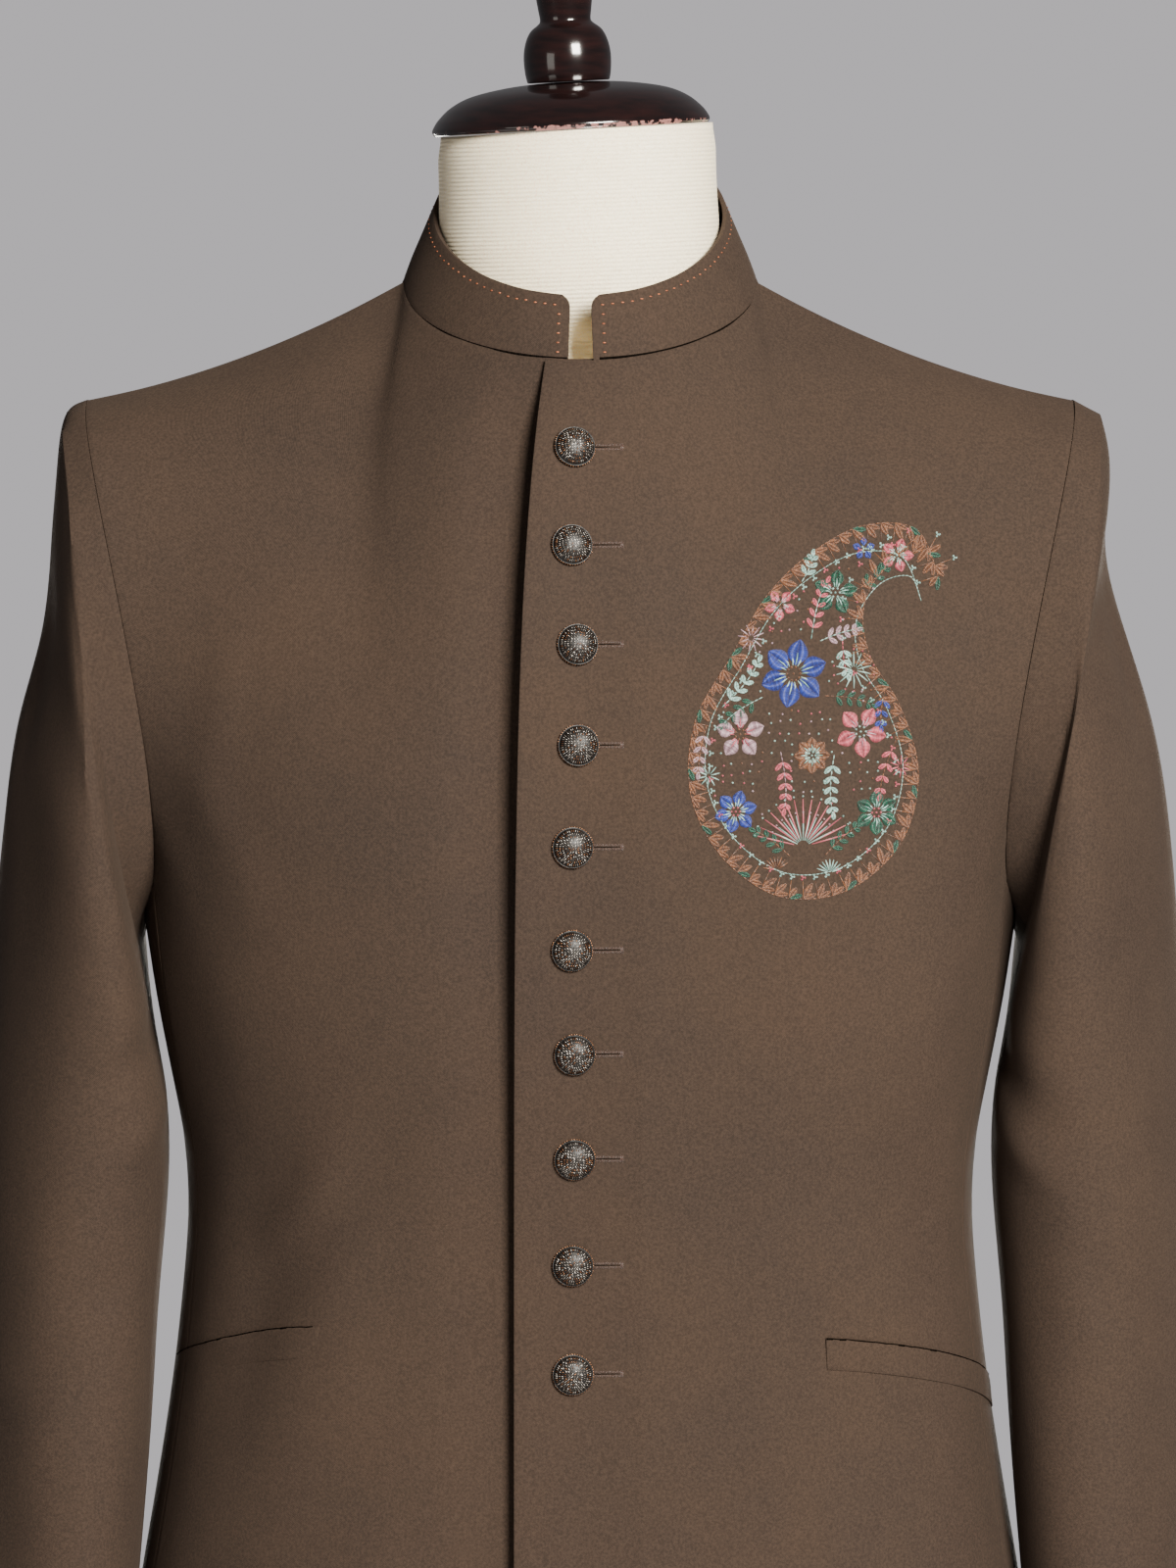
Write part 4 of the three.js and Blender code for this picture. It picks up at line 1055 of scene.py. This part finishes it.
blossoms = table(
    "x z radius petals colour heart second turn",
    (-6, 22, 15, 6, "royalBlue", "copper", "mint", 12),
    (24, -4, 11.5, 5, "coral", "mint", "lilac", 30),
    (-30, -4, 11, 5, "lilac", "copper", "coral", 0),
    (41, 73, 7.5, 5, "coral", "mint", "mint", 20),
    (13, 57, 10, 5, "darkGreen", "mint", "mint", 8),
    (-32, -38, 9.5, 6, "royalBlue", "coral", "mint", 15),
    (31, -40, 10, 6, "darkGreen", "coral", "mint", 0),
    (-12, 52, 7, 5, "coral", "copper", "lilac", 40),
    (2, -14, 8, 8, "copper", "mint", "mint", 0),
    (26, 76, 5, 5, "royalBlue", "mint", None, 0),
)
fans = table(
    "x z radius count colour tip turn sweep",
    (-2, -54, 21, 15, "coral", "mint", -76, 152),
    (-2, -54, 14, 11, "mint", "lilac", -64, 128),
    (21, 23, 8, 14, "mint", "coral", 0, 360),
    (-25, 38, 6, 12, "lilac", None, 10, 360),
    (-44, -22, 5, 10, "mint", None, 5, 360),
    (42, -20, 5, 10, "coral", None, 5, 360),
    (10, -66, 6, 9, "mint", None, -70, 140),
    (-14, -64, 6, 9, "copper", None, -80, 140),
)
sprigs = table(
    "x z turn length bend stem leaf pairs",
    (2, 37, 30, 24, -6, "mint", "coral", 5),
    (-20, 12, -140, 20, 6, "mint", "darkGreen", 4),
    (8, 12, 118, 20, -6, "copper", "darkGreen", 4),
    (12, -14, 168, 24, 6, "mint", "mint", 5),
    (-12, -12, 190, 24, -6, "lilac", "coral", 5),
    (35, 14, 176, 15, 3, "copper", "royalBlue", 3),
    (-38, 8, 26, 24, 6, "mint", "mint", 5),
    (22, 58, 34, 16, 6, "copper", "darkGreen", 3),
    (40, -8, 186, 24, 5, "copper", "coral", 4),
    (-45, 0, 182, 20, 3, "copper", "lilac", 4),
    (-8, -58, -66, 18, 4, "copper", "darkGreen", 4),
    (8, -58, 62, 18, -4, "copper", "darkGreen", 4),
    (6, 36, 84, 16, -3, "mint", "lilac", 4),
    (-2, 62, 10, 11, 3, "mint", "mint", 3),
    (16, 36, 160, 14, 3, "coral", "mint", 3),
)
filling = {
    "pitch": 4.4,
    "clear": 1.06,
    "sprigClear": 5.5,
    "left": -52.0,
    "right": 60,
    "low": -74.0,
    "high": 84,
    "colours": ("mint", "coral", "mint", "lilac", "copper"),
}


# Single knots fill what is left open inside the border.
def fillKnots(work):
    border = [*curved(mangoCorners, 8), *reversed(curved(mangoBack, 8))]
    outline = [(x * innerScale, z * innerScale) for x, z in border]

    def inside(x, z):
        crossings = 0
        for (x0, z0), (x1, z1) in zip(outline, [*outline[1:], outline[0]]):
            if (z0 > z) != (z1 > z) and x < x0 + (z - z0) / (z1 - z0) * (x1 - x0):
                crossings += 1
        return crossings % 2 == 1

    busy = [(row["x"], row["z"], row["radius"]) for row in (*blossoms, *fans)]
    for row in sprigs:
        s, c = sinCos(row["turn"])
        for t in (0.25, 0.6, 0.95):
            along = row["length"] * t
            busy.append((row["x"] + s * along, row["z"] + c * along, filling["sprigClear"]))
    z = filling["low"]
    while z < filling["high"]:
        x = filling["left"] + random.uniform(0, 2)
        while x < filling["right"]:
            px, pz = x + random.uniform(-1, 1), z + random.uniform(-1, 1)
            free = all(math.hypot(px - bx, pz - bz) > radius * filling["clear"] for bx, bz, radius in busy)
            if free and inside(px, pz):
                knot(work, px, pz, random.choice(filling["colours"]), 0.95)
            x += filling["pitch"]
        z += filling["pitch"]


# Places at even steps along a line, each with the way that the line heads there.
def alongLine(corners, pitch):
    fine = curved(corners, 24)
    places, carried = [], 0.0
    for (x0, z0), (x1, z1) in zip(fine, fine[1:]):
        length = math.hypot(x1 - x0, z1 - z0)
        while carried <= length and length > 0:
            t = carried / length
            heading = math.degrees(math.atan2(x1 - x0, z1 - z0))
            places.append((x0 + (x1 - x0) * t, z0 + (z1 - z0) * t, heading))
            carried += pitch
        carried -= length
    return places


borderLook = {"pitch": 2.1, "stitch": 1.8, "innerStitch": 1.7, "leafPitch": 6.6, "stalk": 8.0, "knots": 9.6}


def embroiderBorder():
    work = newWork()
    for corners, flip in ((mangoCorners, 1), (mangoBack, -1)):
        for x, z, heading in alongLine(corners, borderLook["pitch"]):
            s, c = sinCos(heading)
            outer, inner = borderLook["stitch"], borderLook["innerStitch"]
            stitch(work, (x, z), (x + outer * s, z + outer * c), "copper", puff=0.3)
            x0, z0 = x * innerScale, z * innerScale
            stitch(work, (x0, z0), (x0 + inner * s, z0 + inner * c), "mint", puff=0.25, width=0.5)
        for i, (x, z, heading) in enumerate(alongLine(corners, borderLook["leafPitch"])):
            petal(work, x, z, heading - flip * 62, 8.6 - 1.2 * (i % 3), 3.0, "copper")
            petal(work, x, z, heading - flip * 22, 6.6, 2.6, "copper" if i % 4 else "darkGreen")
            s, c = sinCos(heading - flip * 92)
            stalk, knotsAt = borderLook["stalk"], borderLook["knots"]
            stitch(work, (x, z), (x + stalk * s, z + stalk * c), "copper", puff=0.2, width=0.5)
            knots(work, x + knotsAt * s, z + knotsAt * c, 0.9, "mint" if i % 3 else "coral")
    return workPiece("chest_border_embroidery", work, ["copper", "darkGreen", "mint", "coral"])


def embroiderFlowers():
    work = newWork()
    for row in blossoms:
        blossom(work, **row)
    for row in fans:
        rays(work, **row)
    for row in sprigs:
        sprig(work, **row)
    fillKnots(work)
    return workPiece("chest_flower_embroidery", work, list(threadColours))


embroidery = [settle(embroiderBorder(), "suiting"), settle(embroiderFlowers(), "suiting")]
print("embroidery made")


# Covered buttons: a cloth dome set with short metal beads, two bars of them crossed, rows round in each
# quarter and a last row round the edge.
buttonLook = {
    "radius": 9.2,
    "height": 5.6,
    "stand": 0.5,
    "wobble": 12,
    "bead": 0.5,
    "beadLength": 1.7,
    "ringBead": 1.05,
    "edgeBead": 0.95,
    "edgePitch": 1.1,
    "barHalf": 1.5,
    "barSilver": 0.86,
    "ringSilver": 0.62,
    "rings": 5,
    "firstRing": 2.5,
    "ringStep": 1.3,
}


def domeHeight(radius):
    share = min(1, radius / buttonLook["radius"])
    return buttonLook["height"] * (1 - share**2.6) ** 0.8


def buttonBeads(turn):
    work = newWork()

    def bead(x, y, heading, colour, length):
        s, c = math.sin(heading), math.cos(heading)
        half = length / 2
        places = []
        for t in (-1, -0.4, 0.4, 1):
            px, py = x + c * half * t, y + s * half * t
            places.append(Vector((px, py, domeHeight(math.hypot(px, py)))) * mm)
        middle = Vector((x, y, 0))
        slope = (domeHeight(middle.length) - domeHeight(middle.length + 0.1)) / 0.1
        out = (Vector((x, y, 0)).normalized() * slope + Vector((0, 0, 1))).normalized()
        across = (places[-1] - places[0]).cross(out).normalized()
        wide = buttonLook["bead"] * mm
        addStrand(work, places, across, out, wide, wide, colour, random.uniform(0.0, 1.0), sunk=0.1)

    pitch = buttonLook["bead"] * 1.62
    reach = buttonLook["radius"] - 0.8
    for diagonal in (turn, turn + math.pi / 2):
        s, c = math.sin(diagonal), math.cos(diagonal)
        for lane in (-1.5, -0.5, 0.5, 1.5):
            off = lane * pitch
            along = -reach + (0.9 if lane in (-0.5, 1.5) else 0.0)
            while along < reach:
                x, y = c * along - s * off, s * along + c * off
                crossed = diagonal != turn and abs(along) < 2 * pitch
                if math.hypot(x, y) < reach and not crossed:
                    colour = "silverBead" if random.random() < buttonLook["barSilver"] else "copperBead"
                    bead(x, y, diagonal, colour, buttonLook["beadLength"])
                along += buttonLook["beadLength"] * 1.12
    for ring in range(buttonLook["rings"]):
        radius = buttonLook["firstRing"] + ring * buttonLook["ringStep"]
        count = int(2 * math.pi * radius / (buttonLook["bead"] * 1.85))
        for i in range(count):
            angle = 2 * math.pi * (i + 0.5 * (ring % 2)) / count
            x, y = radius * math.cos(angle), radius * math.sin(angle)
            fromBars = min(abs(radius * math.sin(angle - turn)), abs(radius * math.cos(angle - turn)))
            if fromBars < buttonLook["barHalf"] + 0.2:
                continue
            colour = "silverBead" if random.random() < buttonLook["ringSilver"] else "copperBead"
            bead(x, y, angle + random.uniform(-0.2, 0.2), colour, buttonLook["ringBead"])
    edge = reach + 0.55
    count = int(2 * math.pi * edge / buttonLook["edgePitch"])
    for i in range(count):
        angle = 2 * math.pi * i / count
        x, y = edge * math.cos(angle), edge * math.sin(angle)
        bead(x, y, angle + math.pi / 2, "copperBead", buttonLook["edgeBead"])
    return work


def buttonDome():
    rows = [(0.2, 0), (7.9, 0), (8.9, 0.7), (9.15, 1.6)]
    rows += [(r, domeHeight(r)) for r in (8.8, 8.4, 7.8, 7.0, 6.0, 4.8, 3.4, 2.0, 0.7, 0.05)]
    return turnedWood("dome", rows, (0, 0, 0))


# How far each button was sewn off the middle line, in millimetres.
buttonShift = (0, -1.2, 1.3, 1.6, -0.9, -1.2, 0, 0, -0.8, -0.8)


def makeButton(number):
    node = f"button_{number:02d}"
    low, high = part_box(node)
    middle = (Vector(low) + Vector(high)) / 2
    place, out = onFront(middle.x / mm + buttonShift[number - 1], middle.z / mm)
    turn = math.radians(45 + random.uniform(-buttonLook["wobble"], buttonLook["wobble"]))
    beads = workPiece(node + "_beads", buttonBeads(turn), ["silverBead", "copperBead"])
    dome = buttonDome()
    paint(dome, "buttonCloth")
    deselectAll()
    beads.select_set(True)
    dome.select_set(True)
    bpy.context.view_layer.objects.active = beads
    bpy.ops.object.join()
    beads.name = node + "_covered"
    facing = out.to_track_quat("Z", "Y").to_matrix().to_4x4()
    beads.data.transform(Matrix.Translation(place + out * buttonLook["stand"] * mm) @ facing)
    return settle(beads, "beads", node)


buttons = [makeButton(number) for number in range(1, 11)]
print("buttons made")


# Worked buttonholes: close stitches round a slit, and a bar at its outer end.
holeLook = {"from": 1.5, "to": 20.5, "half": 1.45, "pitch": 0.62, "bar": 1.7, "barStep": 0.35}


def addHole(work, x, z):
    def mark(x0, z0, x1, z1, width=0.46, height=0.3, colour="brownThread"):
        places = []
        for t in (0, 0.5, 1):
            place, out = onFront(x + x0 + (x1 - x0) * t, z + z0 + (z1 - z0) * t)
            places.append(place)
        heading = places[-1] - places[0]
        across = heading.cross(out).normalized()
        addStrand(work, places, across, out, width * mm, height * mm, colour, random.uniform(0, 0.8))

    # The slit is a dark strand of painted shade, standing in for the shadow in the cut.
    mark(holeLook["from"], 0, holeLook["to"], 0, 0.5, 0.12, "seamShade")
    along = holeLook["from"]
    while along < holeLook["to"]:
        for side in (-1, 1):
            near, far = side * 0.3, side * (holeLook["half"] + random.uniform(-0.15, 0.15))
            mark(along, near, along + random.uniform(-0.1, 0.1), far)
        along += holeLook["pitch"]
    for i in range(4):
        end, bar = holeLook["to"] + holeLook["barStep"] * i, holeLook["bar"]
        mark(end, -bar + random.uniform(0, 0.2), end, bar - random.uniform(0, 0.2), 0.45, 0.28)


holeWork = newWork()
for button in buttons:
    low, high = (Vector(corner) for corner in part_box(button.name[:9]))
    addHole(holeWork, (low.x + high.x) / 2 / mm, (low.z + high.z) / 2 / mm)
buttonholes = settle(workPiece("buttonhole_stitches", holeWork, ["brownThread", "seamShade"]), "suiting")


# Pick stitches along the collar's top and its two front ends.
collarSurface = surfaceOf(cloth["collar"])
pick = {"pitch": 4.2, "in": 4.6, "length": 1.3, "width": 0.8, "first": 7.5, "ends": (7.6, 352.9), "down": 26}


# The place on the collar's outside at a turn round the neck, from the front towards the wearer's left.
def onCollar(turn, z):
    s, c = sinCos(turn)
    start = Vector((200 * s, -200 * c, z)) * mm
    reach = 170 * mm  # so that no ray goes on to the collar's far side
    return collarSurface.ray_cast(start, Vector((-s, c, 0)), reach)[:2]


def collarTop(turn):
    z = 1440.0
    while z > 1330 and onCollar(turn, z)[0] is None:
        z -= 0.5
    return z


# Painted shade along the sunk seam where the collar is set on the neckline: a dark strand that stands in for
# the shadow in its groove.
paintedSeamShade = {"from": 4, "to": 358, "step": 2, "down": 0.1, "width": 2.3, "height": 0.6}


def addSeamShade(work):
    before = None
    for turn in range(paintedSeamShade["from"], paintedSeamShade["to"], paintedSeamShade["step"]):
        s, c = sinCos(turn)
        place, out = onCollar(turn, collarBase(s, -c) - paintedSeamShade["down"])
        if place is None:
            continue
        if before is not None:
            across = (place - before).cross(out).normalized()
            width, height = paintedSeamShade["width"] * mm, paintedSeamShade["height"] * mm
            addStrand(work, [before, place], across, out, width, height, "seamShade", 0.3)
        before = place


def pickStitches():
    work = newWork()
    perTurn = pick["pitch"] / 70 * 180 / math.pi  # degrees, on a neck 70 mm in radius

    def dot(turn, z):
        place, out = onCollar(turn, z)
        if place is None:
            return
        s, c = sinCos(turn)
        heading = Vector((c, s, 0))
        places = [place + heading * pick["length"] * mm * t for t in (-0.5, 0, 0.5)]
        across = heading.cross(out).normalized()
        width, tone = pick["width"] * mm, random.uniform(0, 0.7)
        addStrand(work, places, across, out, width, 0.34 * mm, "pickThread", tone)

    turn = pick["first"]
    while turn < 353:
        dot(turn, collarTop(turn) - pick["in"])
        turn += perTurn
    for turn in pick["ends"]:
        top = collarTop(turn)
        z = top - pick["in"] - pick["pitch"]
        while z > top - pick["down"]:
            dot(turn, z)
            z -= pick["pitch"]
    # The strands of painted shade along the collar's seam go into the same piece.
    addSeamShade(work)
    return work


collarWork = workPiece("collar_pick_stitches", pickStitches(), ["pickThread", "seamShade"])
collarStitches = settle(collarWork, "suiting")
print("stitching made")


# Painted shade along the top of each welt: a dark strand that stands in for the shadow in its opening.
openingShade = {"width": 1.5, "height": 0.45, "step": 3.0, "inside": 0.3}


def weltShade(hand):
    surface = surfaceOf(cloth[f"pocket_welt_{hand}"])
    work = newWork()
    before = None
    low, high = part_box(f"pocket_welt_{hand}")
    x = low[0] / mm + openingShade["inside"]
    while x < high[0] / mm:
        z = high[2] / mm + 2
        place = None
        while z > low[2] / mm - 12 and place is None:
            z -= 0.25
            place, out = seenOn(surface, x, z)
        if place is not None and before is not None:
            across = (place - before).cross(out).normalized()
            width, height = openingShade["width"] * mm, openingShade["height"] * mm
            addStrand(work, [before, place], across, out, width, height, "seamShade", 0.3, sunk=0.4)
        before = place
        x += openingShade["step"]
    return settle(workPiece(f"welt_opening_{hand}", work, ["seamShade"]), "suiting")


weltShades = {hand: weltShade(hand) for hand in ("left", "right")}


# A pale floor, and soft studio lights: the key at the viewer's right, a weaker one at the left, and two low
# ones behind.
floorLook = {"radius": 2.3, "colour": colourOf(196, 195, 197), "scuffs": (0.4, 0.4, 0.4, 1)}
lights = table(
    "name place aim size power",
    ("key", (1.35, -3.0, 2.6), (0, 0, 1.15), 1.2, 385),
    ("left", (-2.4, -2.4, 1.4), (0, 0, 1.1), 1.2, 8),
    ("backRight", (0.55, 2.7, 0.6), (0, 0, 1.1), 0.9, 80),
    ("backLeft", (-0.45, 2.7, 0.6), (0, 0, 1.1), 0.9, 55),
)
lampColour = (1.0, 0.965, 0.88)
ambient = 0.2
backdropColour = colourOf(194, 191, 194)


def addStudio():
    deselectAll()
    under = (0, 0, -0.5 * mm)
    radius = floorLook["radius"]
    bpy.ops.mesh.primitive_circle_add(vertices=96, radius=radius, fill_type="NGON", location=under)
    floor = bpy.context.object
    floor.name = "floor"
    material, tree, shader = newMaterial("floorPaint", Roughness=0.8)
    scuffs = spread(tree, noiseOf(tree, placeOf(tree), 3.0, 2.0), 0.3, 0.7, 0, 0.1)
    colour = mixColours(tree, scuffs, floorLook["colour"], floorLook["scuffs"])
    tree.links.new(colour, shader.inputs["Base Color"])
    floor.data.materials.append(material)
    for row in lights:
        data = bpy.data.lights.new(row["name"], "AREA")
        data.shape = "SQUARE"
        data.size = row["size"]
        data.energy = row["power"]
        data.color = lampColour
        lamp = bpy.data.objects.new(row["name"], data)
        bpy.context.collection.objects.link(lamp)
        lamp.location = row["place"]
        away = Vector(row["place"]) - Vector(row["aim"])
        lamp.rotation_euler = away.to_track_quat("Z", "Y").to_euler()
    world = bpy.data.worlds.new("studio")
    world.use_nodes = True
    backdrop = world.node_tree.nodes["Background"]
    backdrop.inputs["Color"].default_value = backdropColour
    seen = addNode(world.node_tree, "ShaderNodeLightPath").outputs["Is Camera Ray"]
    strength = spread(world.node_tree, seen, 0.0, 1.0, ambient, 1.0)
    world.node_tree.links.new(strength, backdrop.inputs["Strength"])
    bpy.context.scene.world = world


addStudio()
print("studio made")
